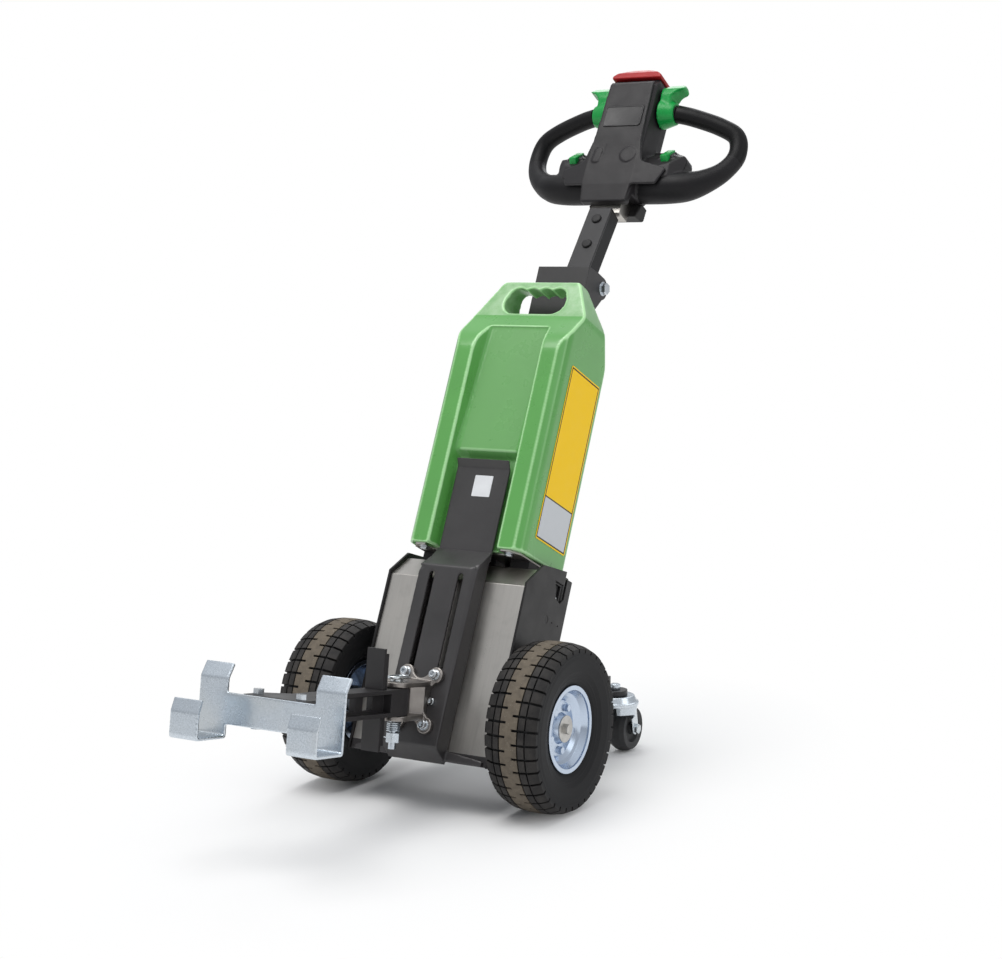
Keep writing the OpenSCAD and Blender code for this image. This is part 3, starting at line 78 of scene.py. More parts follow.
# The pad moves square to the head's lean, and the head is bent up from the arm by 10 degrees
PAD_AXIS = joints["belly_button_press"]["axis"]
HEAD_LEAN = lean_of((0, PAD_AXIS[2], -PAD_AXIS[1]))
HEAD_BEND = math.radians(10)
ARM_LEAN = HEAD_LEAN + HEAD_BEND
TRACK_HALF = joint_place("wheel_right_spin").x

# The object's own frames: each leans back about the X axis
CHASSIS = Matrix.Translation(AXLE) @ Matrix.Rotation(-LEAN, 4, "X")
HEAD = Matrix.Translation(PIVOT) @ Matrix.Rotation(-HEAD_LEAN, 4, "X")
ARM = Matrix.Translation(PIVOT) @ Matrix.Rotation(-ARM_LEAN, 4, "X")
TOW = Matrix.Translation(HITCH) @ Matrix.Rotation(-HITCH_RISE, 4, "X")

# The two sides: with their words, and bare
SIDES = ((-1, "left"), (1, "right"))
HALVES = (-1, 1)

# The edge of a block that is softened later on
HAIR = 0.0001

# Where the bare sheets lie on the battery's sides, back and up in the chassis' frame, and where yellow turns
# pale
LABEL_BACK = (-0.0250, 0.0770)
LABEL_UP = (0.2870, 0.5760)
LABEL_FOLD = 0.3572


# Settings a user would change

def colour(name, text, *value):
    """A colour that a user would change."""
    return FloatVectorProperty(name=name, description=text, subtype="COLOR", size=3,
                               min=0, max=1, default=value)


def distance(name, text, value, least, most):
    """A length in metres that a user would change."""
    return FloatProperty(name=name, description=text, subtype="DISTANCE", unit="LENGTH",
                         default=value, min=least, max=most)


def number(kind, name, text, value, least, most):
    """A count or a plain number that a user would change."""
    return kind(name=name, description=text, default=value, min=least, max=most)


class TugFinishes(bpy.types.PropertyGroup):
    """Colours of the tug's finishes."""

    coat: colour("Powder coat", "Black powder coat of the folded plates", 0.020, 0.0185, 0.0195)
    stainless: colour("Stainless", "Brushed stainless covers", 0.50, 0.48, 0.45)
    zinc: colour("Zinc", "Bright zinc plating", 0.63, 0.69, 0.75)
    case: colour("Battery green", "Moulded battery case", 0.095, 0.345, 0.070)
    lever: colour("Lever green", "Thumb levers and push buttons", 0.008, 0.290, 0.055)
    pad: colour("Safety red", "Belly button pad", 0.36, 0.012, 0.014)
    label: colour("Label yellow", "Bare panels on the battery's sides", 0.96, 0.60, 0.001)


class TugSoftness(bpy.types.PropertyGroup):
    """How soft the edges of the moulded pieces are."""

    case_cell: distance("Case cell", "Grid size of the battery case's softened skin", 0.0023, 0.0015, 0.006)
    case_rounds: number(IntProperty, "Case rounds", "Smoothing rounds on the battery case", 4, 0, 60)
    head_cell: distance("Head cell", "Grid size of the control head's softened skin", 0.0014, 0.001, 0.004)
    head_rounds: number(IntProperty, "Head rounds", "Smoothing rounds on the control head", 5, 1, 60)


class TugLoops(bpy.types.PropertyGroup):
    """The two hand loops."""

    half: distance("Half width", "From the centre plane to the middle of the tube", 0.198, 0.18, 0.21)
    rise: distance("Rise", "Between the middles of the two limbs", 0.148, 0.14, 0.16)
    sweep: distance("Sweep", "How far the loops run back", 0.033, 0.02, 0.04)
    grip: distance("Grip radius", "Radius of the rubber grip", 0.016, 0.014, 0.018)


class TugStage(bpy.types.PropertyGroup):
    """Floor, lamps and camera."""

    floor: colour("Floor", "Colour of the floor", 0.86, 0.86, 0.86)
    shade_width: distance("Shade width", "Half width of the shaded floor", 0.42, 0.1, 2)
    shade_length: distance("Shade length", "Half length of the shaded floor", 0.75, 0.1, 2)
    key_watts: number(FloatProperty, "Key lamp", "Power of the key lamp in watts", 62, 0, 500)
    fill_watts: number(FloatProperty, "Fill lamp", "Power of the fill lamp in watts", 13, 0, 500)
    lens: number(FloatProperty, "Lens", "Focal length in millimetres", 71.04, 20, 200)


# Small tools

def mode(name):
    """Switches the active piece to edit or to object mode."""
    bpy.ops.object.mode_set(mode=name)


def at(x, y, z):
    """The matrix of a plain move."""
    return Matrix.Translation((x, y, z))


def turned(degrees, axis):
    """The matrix of a turn about one axis."""
    return Matrix.Rotation(math.radians(degrees), 4, axis)


def deselect():
    """Leaves nothing selected."""
    if bpy.context.object and bpy.context.object.mode != "OBJECT":
        mode("OBJECT")
    bpy.ops.object.select_all(action="DESELECT")


def choose(piece):
    """Selects one piece and makes it active."""
    deselect()
    piece.select_set(True)
    bpy.context.view_layer.objects.active = piece


def settle(piece, matrix):
    """Puts a piece's place into its mesh, seen from one of the object's own frames."""
    bpy.context.view_layer.update()
    piece.data.transform(matrix @ piece.matrix_world)
    piece.matrix_world = Matrix.Identity(4)


def added(name):
    """The piece that the last primitive added, with its name."""
    piece = bpy.context.active_object
    piece.name = name
    piece.data.name = name
    return piece


def paint(piece, finish):
    """Gives a piece one finish."""
    piece.data.materials.clear()
    piece.data.materials.append(materials[finish])


def hand_over(piece, body, finish, matrix=None, replaces=()):
    """Settles, paints and attaches a finished piece."""
    if matrix is not None:
        settle(piece, matrix)
    paint(piece, finish)
    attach(piece, body)
    if replaces:
        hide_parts(*replaces)


def apply(piece, kind, **values):
    """Adds a modifier to a piece with these values, and applies it."""
    choose(piece)
    bpy.ops.object.modifier_add(type=kind)
    modifier = piece.modifiers[-1]
    for key, value in values.items():
        setattr(modifier, key, value)
    bpy.ops.object.modifier_apply(modifier=modifier.name)


def merge(near):
    """Merges the active piece's points that lie this near, and stays in edit mode."""
    mode("EDIT")
    bpy.ops.mesh.select_all(action="SELECT")
    bpy.ops.mesh.remove_doubles(threshold=near)


def node_copy(node, name):
    """A merged copy of a CAD node, ready to be softened."""
    piece = bpy.data.objects.new(name, frame["nodes"][node].data.copy())
    bpy.context.scene.collection.objects.link(piece)
    choose(piece)
    piece.data.name = name
    if piece.data.has_custom_normals:
        bpy.ops.mesh.customdata_custom_splitnormals_clear()
    merge(0.00001)
    mode("OBJECT")
    return piece


def skin(piece, cell, rounds, share=1.0):
    """Rounds a piece's edges by an even skin and a few smoothing rounds, then keeps a share of its faces."""
    apply(piece, "REMESH", mode="VOXEL", voxel_size=cell, adaptivity=0.0)
    if rounds:
        apply(piece, "SMOOTH", factor=0.5, iterations=rounds)
    if share < 1:
        apply(piece, "DECIMATE", ratio=share)
    choose(piece)
    bpy.ops.object.shade_smooth()
    return piece


def soften(node, name, cell, rounds, share=1.0):
    """A copy of a CAD node with rounded edges."""
    return skin(node_copy(node, name), cell, rounds, share)


def span(node, matrix):
    """A node's lowest and highest corners in one of the object's own frames."""
    inverse = matrix.inverted()
    spots = [inverse @ point.co for point in frame["nodes"][node].data.vertices]
    return [Vector([end(spot[i] for spot in spots) for i in range(3)]) for end in (min, max)]


def round_edges(piece, width, segments=3, angle=30):
    """Rounds a piece's sharp edges, and shades it by their angle."""
    apply(piece, "BEVEL", width=width, segments=segments, limit_method="ANGLE",
          angle_limit=math.radians(angle))
    choose(piece)
    bpy.ops.object.shade_smooth_by_angle(angle=math.radians(angle + 10))


def pick(piece, kind, test):
    """Selects the points, edges or faces for which the test holds, and stays in edit mode."""
    choose(piece)
    mode("EDIT")
    bpy.ops.mesh.select_mode(type=kind)
    bpy.ops.mesh.select_all(action="DESELECT")
    mode("OBJECT")
    for item in {"VERT": piece.data.vertices, "EDGE": piece.data.edges, "FACE": piece.data.polygons}[kind]:
        item.select = test(item)
    mode("EDIT")


def ends(piece, edge):
    """The two end points of an edge."""
    return [piece.data.vertices[i].co for i in edge.vertices]


def cube(name, centre, size):
    """A plain box."""
    deselect()
    bpy.ops.mesh.primitive_cube_add(size=1, location=centre)
    piece = added(name)
    piece.scale = size
    bpy.ops.object.transform_apply(location=True, rotation=False, scale=True)
    return piece


def block(name, low, high, width, segments):
    """A box between two corners, with rounded edges."""
    low, high = Vector(low), Vector(high)
    piece = cube(name, (low + high) / 2, high - low)
    round_edges(piece, width, segments)
    return piece


def plate(name, half_w, half_h, corner, thick, sides=6):
    """A thin plate in the X-Z plane with round corners, its back at Y = 0 and its front towards -Y."""
    piece = cube(name, (0, -thick / 2, 0), (2 * half_w, thick, 2 * half_h))

    def runs_through(edge):
        a, b = ends(piece, edge)
        return abs(a.y - b.y) > thick / 2

    pick(piece, "EDGE", runs_through)
    bpy.ops.mesh.bevel(offset=corner, segments=sides, affect="EDGES")
    mode("OBJECT")
    return piece


def rod(name, start, end, radius, sides=24, end_radius=None):
    """A round bar between two points."""
    deselect()
    start, end = Vector(start), Vector(end)
    bpy.ops.mesh.primitive_cone_add(vertices=sides, radius1=radius,
                                    radius2=radius if end_radius is None else end_radius,
                                    depth=(end - start).length, location=(start + end) / 2)
    piece = added(name)
    piece.rotation_mode = "QUATERNION"
    piece.rotation_quaternion = (end - start).to_track_quat("Z", "Y")
    return piece


def fixed(piece):
    """The same piece with its place and turn in its mesh."""
    choose(piece)
    bpy.ops.object.transform_apply(location=True, rotation=True, scale=True)
    return piece


def join(pieces, name):
    """Joins pieces into one."""
    deselect()
    for piece in pieces:
        piece.select_set(True)
    bpy.context.view_layer.objects.active = pieces[0]
    bpy.ops.object.join()
    return added(name)


# Screw heads, as shares of their radius and of their height
HEX_INSET, HEX_BEVEL, HEX_RISE = 0.16, 0.04, 0.14
CAP_INSET, CAP_RISE = 0.18, 0.10
SOCKET_RING, SOCKET_LIP, SOCKET_DEPTH = 0.30, 0.02, 0.5
# A washer under a head, in metres
WASHER_UNDER, WASHER_OVER, WASHER_BEVEL = 0.0012, 0.0004, 0.0003


def crown(head, axis, inset, rise):
    """Draws in the end face of a screw head and raises it, and stays in edit mode on that face."""
    pick(head, "FACE", lambda face: face.normal.dot(axis) > 0.9)
    bpy.ops.mesh.inset(thickness=inset, depth=0)
    bpy.ops.transform.translate(value=axis * rise)


def hex_screw(name, place, axis, radius, height, washer=0.0):
    """A hexagon head with a chamfered crown, and a washer below it where one is asked for."""
    place, axis = Vector(place), Vector(axis).normalized()
    head = fixed(rod(name, place, place + axis * height, radius, 6))
    crown(head, axis, radius * HEX_INSET, height * HEX_RISE)
    mode("OBJECT")
    round_edges(head, radius * HEX_BEVEL, 2)
    if not washer:
        return head
    ring = fixed(rod(name + "_washer", place - axis * WASHER_UNDER, place + axis * WASHER_OVER, washer, 32))
    round_edges(ring, WASHER_BEVEL, 2)
    return join([head, ring], name)


def socket_screw(name, place, axis, radius, height):
    """A round head with a round socket."""
    place, axis = Vector(place), Vector(axis).normalized()
    head = fixed(rod(name, place, place + axis * height, radius, 36))
    crown(head, axis, radius * CAP_INSET, height * CAP_RISE)
    bpy.ops.mesh.inset(thickness=radius * SOCKET_RING, depth=0)
    bpy.ops.mesh.inset(thickness=radius * SOCKET_LIP, depth=-height * SOCKET_DEPTH)
    mode("OBJECT")
    choose(head)
    bpy.ops.object.shade_smooth_by_angle(angle=math.radians(32))
    return head


def smooth_path(guides, steps):
    """A smooth run of (x, y, z, radius) through guide points."""
    count = len(guides)
    path = []
    for i in range(count - 1):
        before, start = guides[max(i - 1, 0)], guides[i]
        end, after = guides[i + 1], guides[min(i + 2, count - 1)]
        for k in range(steps + (1 if i == count - 2 else 0)):
            t = k / steps
            path.append(tuple(
                b + ((c - a) * t + (2 * a - 5 * b + 4 * c - d) * t * t + (3 * b - a - 3 * c + d) * t ** 3) / 2
                for a, b, c, d in zip(before, start, end, after)))
    return path


def traced(name, corners, closed, sizes=None):
    """A curve object with one run of straight stretches through these (x, y, z) corners."""
    piece = added(name)
    curve = piece.data
    curve.splines.clear()
    run = curve.splines.new("POLY")
    run.points.add(len(corners) - 1)
    for i, (point, corner) in enumerate(zip(run.points, corners)):
        point.co = (*corner, 1)
        if sizes:
            point.radius = sizes[i]
    run.use_cyclic_u = closed
    return piece, curve


def meshed(piece, name):
    """A curve object turned into a clean mesh."""
    choose(piece)
    bpy.ops.object.convert(target="MESH")
    piece = added(name)
    merge(0.000001)
    bpy.ops.mesh.normals_make_consistent(inside=False)
    mode("OBJECT")
    return piece


def bent_bar(name, path, sides=8):
    """A bar along a path of (x, y, z, radius)."""
    deselect()
    bpy.ops.curve.primitive_nurbs_path_add()
    piece, curve = traced(name, [spot[:3] for spot in path], False, [spot[3] / MM for spot in path])
    curve.dimensions = "3D"
    curve.bevel_depth = MM
    curve.bevel_resolution = sides
    curve.use_fill_caps = True
    curve.twist_mode = "MINIMUM"
    piece.location = (0, 0, 0)
    piece = meshed(piece, name)
    bpy.ops.object.shade_smooth_by_angle(angle=math.radians(50))
    return piece


def sheet(name, outline, thick):
    """A flat piece with this outline in the X-Y plane, its thickness shared by both sides."""
    deselect()
    bpy.ops.curve.primitive_bezier_circle_add()
    piece, curve = traced(name, [(x, y, 0) for x, y in outline], True)
    curve.dimensions = "2D"
    curve.fill_mode = "BOTH"
    curve.extrude = thick / 2
    return meshed(piece, name)


# Finishes

materials = {}


def times(colour, factor):
    """A colour, stronger or weaker, and never above full."""
    return tuple(min(1, part * factor) for part in colour)


class Value:
    """What a node works out from place to place. Sums and products of it read as such."""

    def __init__(self, graph, socket):
        self.graph = graph
        self.socket = socket

    def __add__(self, other):
        return self.graph.math("ADD", self, other)

    def __sub__(self, other):
        return self.graph.math("SUBTRACT", self, other)

    def __rsub__(self, other):
        return self.graph.math("SUBTRACT", other, self)

    def __mul__(self, other):
        return self.graph.math("MULTIPLY", self, other)

    def __truediv__(self, other):
        return self.graph.math("DIVIDE", self, other)

    def __abs__(self):
        return self.graph.math("ABSOLUTE", self)


class Graph:
    """A node tree and its small nodes."""

    def __init__(self, tree):
        self.nodes = tree.nodes
        self.links = tree.links

    def feed(self, value, socket):
        """Gives a socket its value: what another node works out, a number, a vector or a colour."""
        if isinstance(value, Value):
            self.links.new(value.socket, socket)
        elif isinstance(value, (int, float)):
            socket.default_value = value
        else:
            socket.default_value = (*value, 1)[:len(socket.default_value)]

    def add(self, kind, inputs=(), **settings):
        """A new node with these inputs and settings."""
        node = self.nodes.new("ShaderNode" + kind)
        for key, value in settings.items():
            setattr(node, key, value)
        for key, value in dict(inputs).items():
            self.feed(value, node.inputs[key])
        return node

    def work(self, kind, output, inputs=(), **settings):
        """What a new node with these inputs and settings works out."""
        return Value(self, self.add(kind, inputs, **settings).outputs[output])

    def math(self, operation, *values):
        """A sum, a product or the like of one or two values."""
        return self.work("Math", 0, enumerate(values), operation=operation)

    def length(self, a, b):
        """How far a point with these two coordinates is from the middle."""
        return self.math("SQRT", a * a + b * b)

    def between(self, value, low, high, to_low=0.0, to_high=1.0):
        """A value's run from low to high turned into another run, and held at its ends."""
        return self.work("MapRange", "Result", {"Value": value, "From Min": low, "From Max": high,
                                                "To Min": to_low, "To Max": to_high})

    def below(self, value, low, high):
        """One where a value is below low, nothing where it is above high."""
        return self.between(value, low, high, 1.0, 0.0)

    def parts(self, vector):
        """The three coordinates of a vector."""
        node = self.add("SeparateXYZ", {0: vector})
        return [Value(self, socket) for socket in node.outputs]

    def seen_by(self, *kinds):
        """One for rays of these kinds, nothing for the others."""
        first, *others = (self.work("LightPath", "Is %s Ray" % kind) for kind in kinds)
        for other in others:
            first = self.math("MAXIMUM", first, other)
        return first


class Finish(Graph):
    """One material and the nodes that most finishes share."""

    def __init__(self, name, colour, roughness, metallic=0.0, specular=0.5):
        materials[name] = bpy.data.materials.new(name)
        materials[name].use_nodes = True
        super().__init__(materials[name].node_tree)
        self.colour = colour
        self.inputs = self.nodes["Principled BSDF"].inputs
        self.feed(colour, self.inputs["Base Color"])
        self.feed(roughness, self.inputs["Roughness"])
        self.feed(metallic, self.inputs["Metallic"])
        self.feed(specular, self.inputs["Specular IOR Level"])
        self.place = self.work("TexCoord", "Object")
        self.normal = None

    def seen_from(self, matrix, scale=None):
        """Object coordinates seen from one of the object's own frames, stretched where a scale is given."""
        inverse = matrix.inverted()
        place = self.work("Mapping", "Vector", {"Vector": self.place, "Location": inverse.to_translation(),
                                                "Rotation": inverse.to_euler()})
        if scale is None:
            return place
        return self.work("VectorMath", "Vector", {0: place, 1: scale}, operation="MULTIPLY")

    def noise(self, scale, detail=4, place=None, roughness=0.55):
        """Cloudy noise of this many waves a metre."""
        return self.work("TexNoise", "Fac", {"Vector": place or self.place, "Scale": scale, "Detail": detail,
                                             "Roughness": roughness})

    def cells(self, scale):
        """The distance from the middle of small cells, this many a metre."""
        return self.work("TexVoronoi", "Distance", {"Vector": self.place, "Scale": scale})

    def ramp(self, value, low, dark, high, light):
        """One colour below a low value, another above a high one, and a blend between them."""
        node = self.add("ValToRGB", {"Fac": value})
        for element, place, colour in zip(node.color_ramp.elements, (low, high), (dark, light)):
            element.position = place
            element.color = (*colour, 1)
        return Value(self, node.outputs["Color"])

    def mix(self, share, a, b, blend="MIX"):
        """Colour a with a share of colour b over it."""
        return self.work("Mix", 2, {0: share, 6: a, 7: b}, data_type="RGBA", blend_type=blend)

    def lean_on(self, normal):
        """Shades the finish by this normal."""
        self.normal = normal
        self.feed(normal, self.inputs["Normal"])

    def soft_edges(self, radius):
        """Rounds the shading across sharp edges."""
        self.lean_on(self.work("Bevel", "Normal", {"Radius": radius}, samples=4))

    def bump(self, height, strength, distance):
        """Raises the shading by a height, on top of what was there."""
        inputs = {"Strength": strength, "Distance": distance, "Height": height}
        if self.normal:
            inputs["Normal"] = self.normal
        self.lean_on(self.work("Bump", "Normal", inputs))

    def tint(self, value):
        """Sets the colour."""
        self.feed(value, self.inputs["Base Color"])

    def shine(self, value):
        """Sets the roughness."""
        self.feed(value, self.inputs["Roughness"])

    def drift(self, scale, low, high, detail=4):
        """The finish's colour, drifting between two strengths of itself."""
        dark, light = times(self.colour, low), times(self.colour, high)
        return self.ramp(self.noise(scale, detail), 0.32, dark, 0.68, light)

    def patches(self, scale, detail, low, high):
        """A roughness that drifts between two values."""
        return self.between(self.noise(scale, detail), 0.3, 0.7, low, high)


def coat_finish(name, colour, roughness=0.40, grain=0.10, edges=0.0016, specular=0.4):
    """Powder coat: fine orange peel, faintly dusty tone."""
    finish = Finish(name, colour, roughness, specular=specular)
    finish.soft_edges(edges)
    finish.bump(finish.noise(620, 3), grain, 0.0004)
    finish.tint(finish.drift(9, 0.82, 1.30))
    finish.shine(finish.patches(23, 6, roughness - 0.06, roughness + 0.10))


def stainless_finish(name, colour):
    """Brushed stainless: fine streaks along the sheet, a few handling marks."""
    finish = Finish(name, colour, 0.34, metallic=1.0)
    finish.soft_edges(0.0008)
    streaks = finish.noise(1.0, 5, finish.seen_from(CHASSIS, (900, 300, 14)), 0.6)
    marks = finish.between(finish.noise(7, 5), 0.45, 0.75, 0.0, 0.12)
    finish.shine(finish.between(streaks, 0.3, 0.7, 0.27, 0.38) + marks)
    smears = finish.between(finish.noise(60, 6), 0.52, 0.75, 0.0, 0.35)
    worn = finish.mix(smears, times(colour, 1.04), times(colour, 0.80))
    dull = finish.ramp(streaks, 0.30, (0.90, 0.90, 0.90), 0.70, (1.0, 1.0, 1.0))
    finish.tint(finish.mix(1.0, worn, dull, "MULTIPLY"))
    finish.bump(streaks, 0.04, 0.0004)


def zinc_finish(name, colour, spangle=0.35, roughness=0.26, blush=0.5):
    """Bright zinc: blue-white, with a fine frost and a warmer cast here and there."""
    finish = Finish(name, colour, roughness, metallic=1.0)
    finish.soft_edges(0.0010)
    frost = finish.noise(520, 3)
    base = finish.ramp(frost, 0.30, times(colour, 1 - spangle), 0.62, times(colour, 1 + 0.3 * spangle))
    warm = (min(1, colour[0] * 1.12), colour[1] * 1.03, colour[2] * 0.90)
    finish.tint(finish.mix(finish.between(finish.noise(8, 3), 0.48, 0.72, 0.0, blush), base, warm))
    finish.shine(finish.patches(34, 6, roughness - 0.06, roughness + 0.08))
    finish.bump(frost, 0.10 * spangle, 0.0005)


def cast_finish(name, colour):
    """Investment casting: fine even grain."""
    finish = Finish(name, colour, 0.42, metallic=1.0)
    finish.bump(finish.noise(520, 5), 0.22, 0.0006)
    finish.tint(finish.drift(40, 0.84, 1.12))
    finish.shine(finish.patches(60, 5, 0.34, 0.50))


def machined_finish(name, colour):
    """Turned steel with a light oil film."""
    finish = Finish(name, colour, 0.30, metallic=1.0)
    finish.soft_edges(0.0006)
    finish.tint(finish.drift(120, 0.88, 1.10))
    finish.bump(finish.noise(800, 3), 0.08, 0.0003)


def case_finish(name, colour):
    """Moulded battery case: glossy skin, a painted highlight along its convex edges, a greyer channel and a
    painted reflection on the crown.
    """
    finish = Finish(name, colour, 0.30)
    finish.feed(0.35, finish.inputs["Coat Weight"])
    finish.feed(0.12, finish.inputs["Coat Roughness"])
    low, high = span("battery_case", CHASSIS)
    x, y, z = finish.parts(finish.seen_from(CHASSIS))
    channel = finish.below(abs(x), 0.050, 0.053) * finish.below(y, low.y + 0.06, low.y + 0.075)
    channel *= finish.below(z, high.z - 0.098, high.z - 0.094)
    hazy = finish.mix(channel * 0.45, finish.drift(6, 0.93, 1.07, detail=3), (0.170, 0.370, 0.140))
    # Painted reflection: the crown, the top of the case, is painted a paler green broken up by noise, and it is
    # also made a little rougher
    reflection_breakup = finish.between(finish.noise(26, 9, roughness=0.72), 0.40, 0.66, 0.35, 1.0)
    crown = finish.between(z, high.z - 0.0705, high.z - 0.0690) * reflection_breakup
    crowned = finish.mix(crown * 0.62, hazy, (0.440, 0.620, 0.400))
    # Painted highlight: the convex edges, found by their pointiness, are painted a paler green in place of the
    # lamp's highlights on them
    edges = finish.between(finish.work("NewGeometry", "Pointiness"), 0.508, 0.526, 0.0, 0.80)
    finish.tint(finish.mix(edges, crowned, (0.46, 0.80, 0.40)))
    finish.shine(finish.patches(30, 3, 0.26, 0.32) + crown * 0.06)
    finish.bump(finish.noise(45, 2) + finish.noise(520, 2) * 0.16, 0.012, 0.0012)


def label_finish(name, colour):
    """A bare printed sheet: yellow with a thin black frame, its foot pale."""
    finish = Finish(name, colour, 0.42, specular=0.25)
    x, y, z = finish.parts(finish.seen_from(CHASSIS))
    beside = finish.math("MINIMUM", y - LABEL_BACK[0], LABEL_BACK[1] - y)
    above = finish.math("MINIMUM", z - LABEL_UP[0], LABEL_UP[1] - z)
    inset = finish.math("MINIMUM", beside, above)
    inside = finish.between(inset, 0.0037, 0.0039)
    pale = inside * finish.below(z, LABEL_FOLD - 0.0002, LABEL_FOLD + 0.0002)
    paper = finish.mix(pale, colour, (0.58, 0.60, 0.62))
    frame_line = finish.below(abs(inset - 0.0034), 0.0010, 0.0013)
    fold_line = finish.below(abs(z - LABEL_FOLD), 0.0009, 0.0012)
    line = finish.math("MAXIMUM", frame_line, fold_line * inside)
    finish.tint(finish.mix(line, paper, (0.012, 0.012, 0.012)))
    finish.shine(finish.patches(60, 4, 0.38, 0.50))
    finish.bump(finish.noise(120, 3), 0.03, 0.0004)


def grain_finish(name, colour, roughness=0.46, grain=0.16, scale=900, edges=0.0, specular=0.32):
    """Moulded black plastic with a fine leather-like grain."""
    finish = Finish(name, colour, roughness, specular=specular)
    if edges:
        finish.soft_edges(edges)
    finish.bump(finish.cells(scale), grain, 0.0003)
    finish.tint(finish.drift(13, 0.86, 1.18))
    finish.shine(finish.patches(40, 5, roughness - 0.05, roughness + 0.07))


def gloss_finish(name, colour, roughness=0.24, edges=0.0, specular=0.5):
    """Smooth coloured plastic."""
    finish = Finish(name, colour, roughness, specular=specular)
    if edges:
        finish.soft_edges(edges)
    finish.tint(finish.drift(25, 0.94, 1.06))
    finish.shine(finish.patches(60, 4, roughness - 0.04, roughness + 0.08))
    finish.bump(finish.noise(300, 3), 0.03, 0.0004)


# The tyre's rings, as distances from its axle in metres
SIDE_RING, LOW_RING = 0.1125, 0.0790


def tyre_finish(name, worn):
    """Tyre rubber: dull black blocks with dust on their tops and painted shade in the grooves, a worn dusty centre
    rib and fine rings on the sidewall.
    """
    finish = Finish(name, (0.016, 0.016, 0.016), 0.72, specular=0.22)
    finish.soft_edges(0.0010)
    x, y, z = finish.parts(finish.seen_from(Matrix.Translation(AXLE)))
    radius = finish.length(y, z)
    across = abs(abs(x) - TRACK_HALF)
    rib = finish.below(across, 0.0150, 0.0156) * finish.between(radius, 0.1270, 0.1288)
    rib *= finish.between(finish.noise(110, 6), 0.25, 0.6, 0.62, 1.0)
    # Dust and painted shade: the block tops are dusted paler, while the grooves and the lower shoulders stay black
    # as painted shade
    shoulder = finish.between(radius, 0.1150, 0.1270, 0.0, 0.8)
    tread = finish.mix(finish.below(across, 0.0300, 0.0330), shoulder, finish.between(radius, 0.1258, 0.1284))
    dust_and_groove_shade = tread * finish.between(finish.noise(55, 6), 0.35, 0.70, 0.25, 0.95)
    black = finish.mix(dust_and_groove_shade, (0.0105, 0.0105, 0.0115), (0.052, 0.047, 0.043))
    brown = finish.mix(rib, black, worn)
    specks = finish.between(finish.noise(460, 2), 0.66, 0.72, 0.0, 0.8) * rib
    finish.tint(finish.mix(specks, brown, (0.30, 0.27, 0.22)))
    finish.shine(finish.between(rib, 0.0, 1.0, 0.60, 0.86))
    rings = finish.below(abs(radius - SIDE_RING), 0.0006, 0.0012)
    rings += finish.below(abs(radius - LOW_RING), 0.0008, 0.0014)
    finish.bump(finish.noise(300, 4) * 0.35 + rings, 0.35, 0.0006)


def build_finishes(colours):
    """Makes every finish once."""
    coat_finish("powder_black", tuple(colours.coat), 0.38, 0.08, 0.0020, 0.5)
    coat_finish("strap_black", (0.032, 0.030, 0.031), 0.36, 0.08, 0.0020, 0.55)
    coat_finish("side_black", (0.012, 0.011, 0.0115), 0.40, 0.08, 0.0020, 0.34)
    coat_finish("arm_black", (0.012, 0.0115, 0.013), 0.32, 0.06, 0.0018, 0.38)
    # Painted shade: the arm's coat painted darker than arm_black for the shade on the arm's sides, and near-black
    # for the shade in the hook pockets
    coat_finish("shaded_black", (0.0050, 0.0048, 0.0056), 0.34, 0.06, 0.0018, 0.22)
    stainless_finish("stainless", tuple(colours.stainless))
    zinc_finish("zinc", tuple(colours.zinc), 0.16, 0.25)
    zinc_finish("rim_zinc", (0.52, 0.60, 0.72), 0.03, 0.20, 0.15)
    zinc_finish("screw_zinc", (0.60, 0.64, 0.68), 0.03, 0.20, 0.3)
    machined_finish("machined", (0.48, 0.47, 0.45))
    cast_finish("cast_steel", (0.34, 0.315, 0.295))
    coat_finish("gear_grey", (0.20, 0.20, 0.205), 0.5, 0.2)
    coat_finish("motor_black", (0.030, 0.030, 0.034), 0.45, 0.1)
    case_finish("case_green", tuple(colours.case))
    grain_finish("head_black", (0.0155, 0.0140, 0.0155), 0.44, 0.10)
    grain_finish("dark_plastic", (0.012, 0.0115, 0.012), 0.50, 0.10, edges=0.0008)
    grain_finish("grip_rubber", (0.0042, 0.0040, 0.0046), 0.46, 0.16, 700, specular=0.20)
    grain_finish("limb_black", (0.0085, 0.0080, 0.0092), 0.46, 0.10, specular=0.22)
    tyre_finish("tyre", (0.155, 0.130, 0.100))
    grain_finish("caster_tread", (0.030, 0.030, 0.031), 0.55, 0.12, 500, 0.0008)
    gloss_finish("lever_green", tuple(colours.lever), 0.26, 0.0, 0.30)
    gloss_finish("button_green", tuple(colours.lever), 0.30, 0.0012, 0.30)
    gloss_finish("pad_red", tuple(colours.pad), 0.36, 0.0, 0.30)
    gloss_finish("panel_black", (0.011, 0.010, 0.011), 0.38, 0.0006)
    label_finish("label_yellow", tuple(colours.label))
    gloss_finish("sticker_white", (0.72, 0.73, 0.75), 0.40)
    gloss_finish("cells_grey", (0.08, 0.08, 0.09), 0.5)


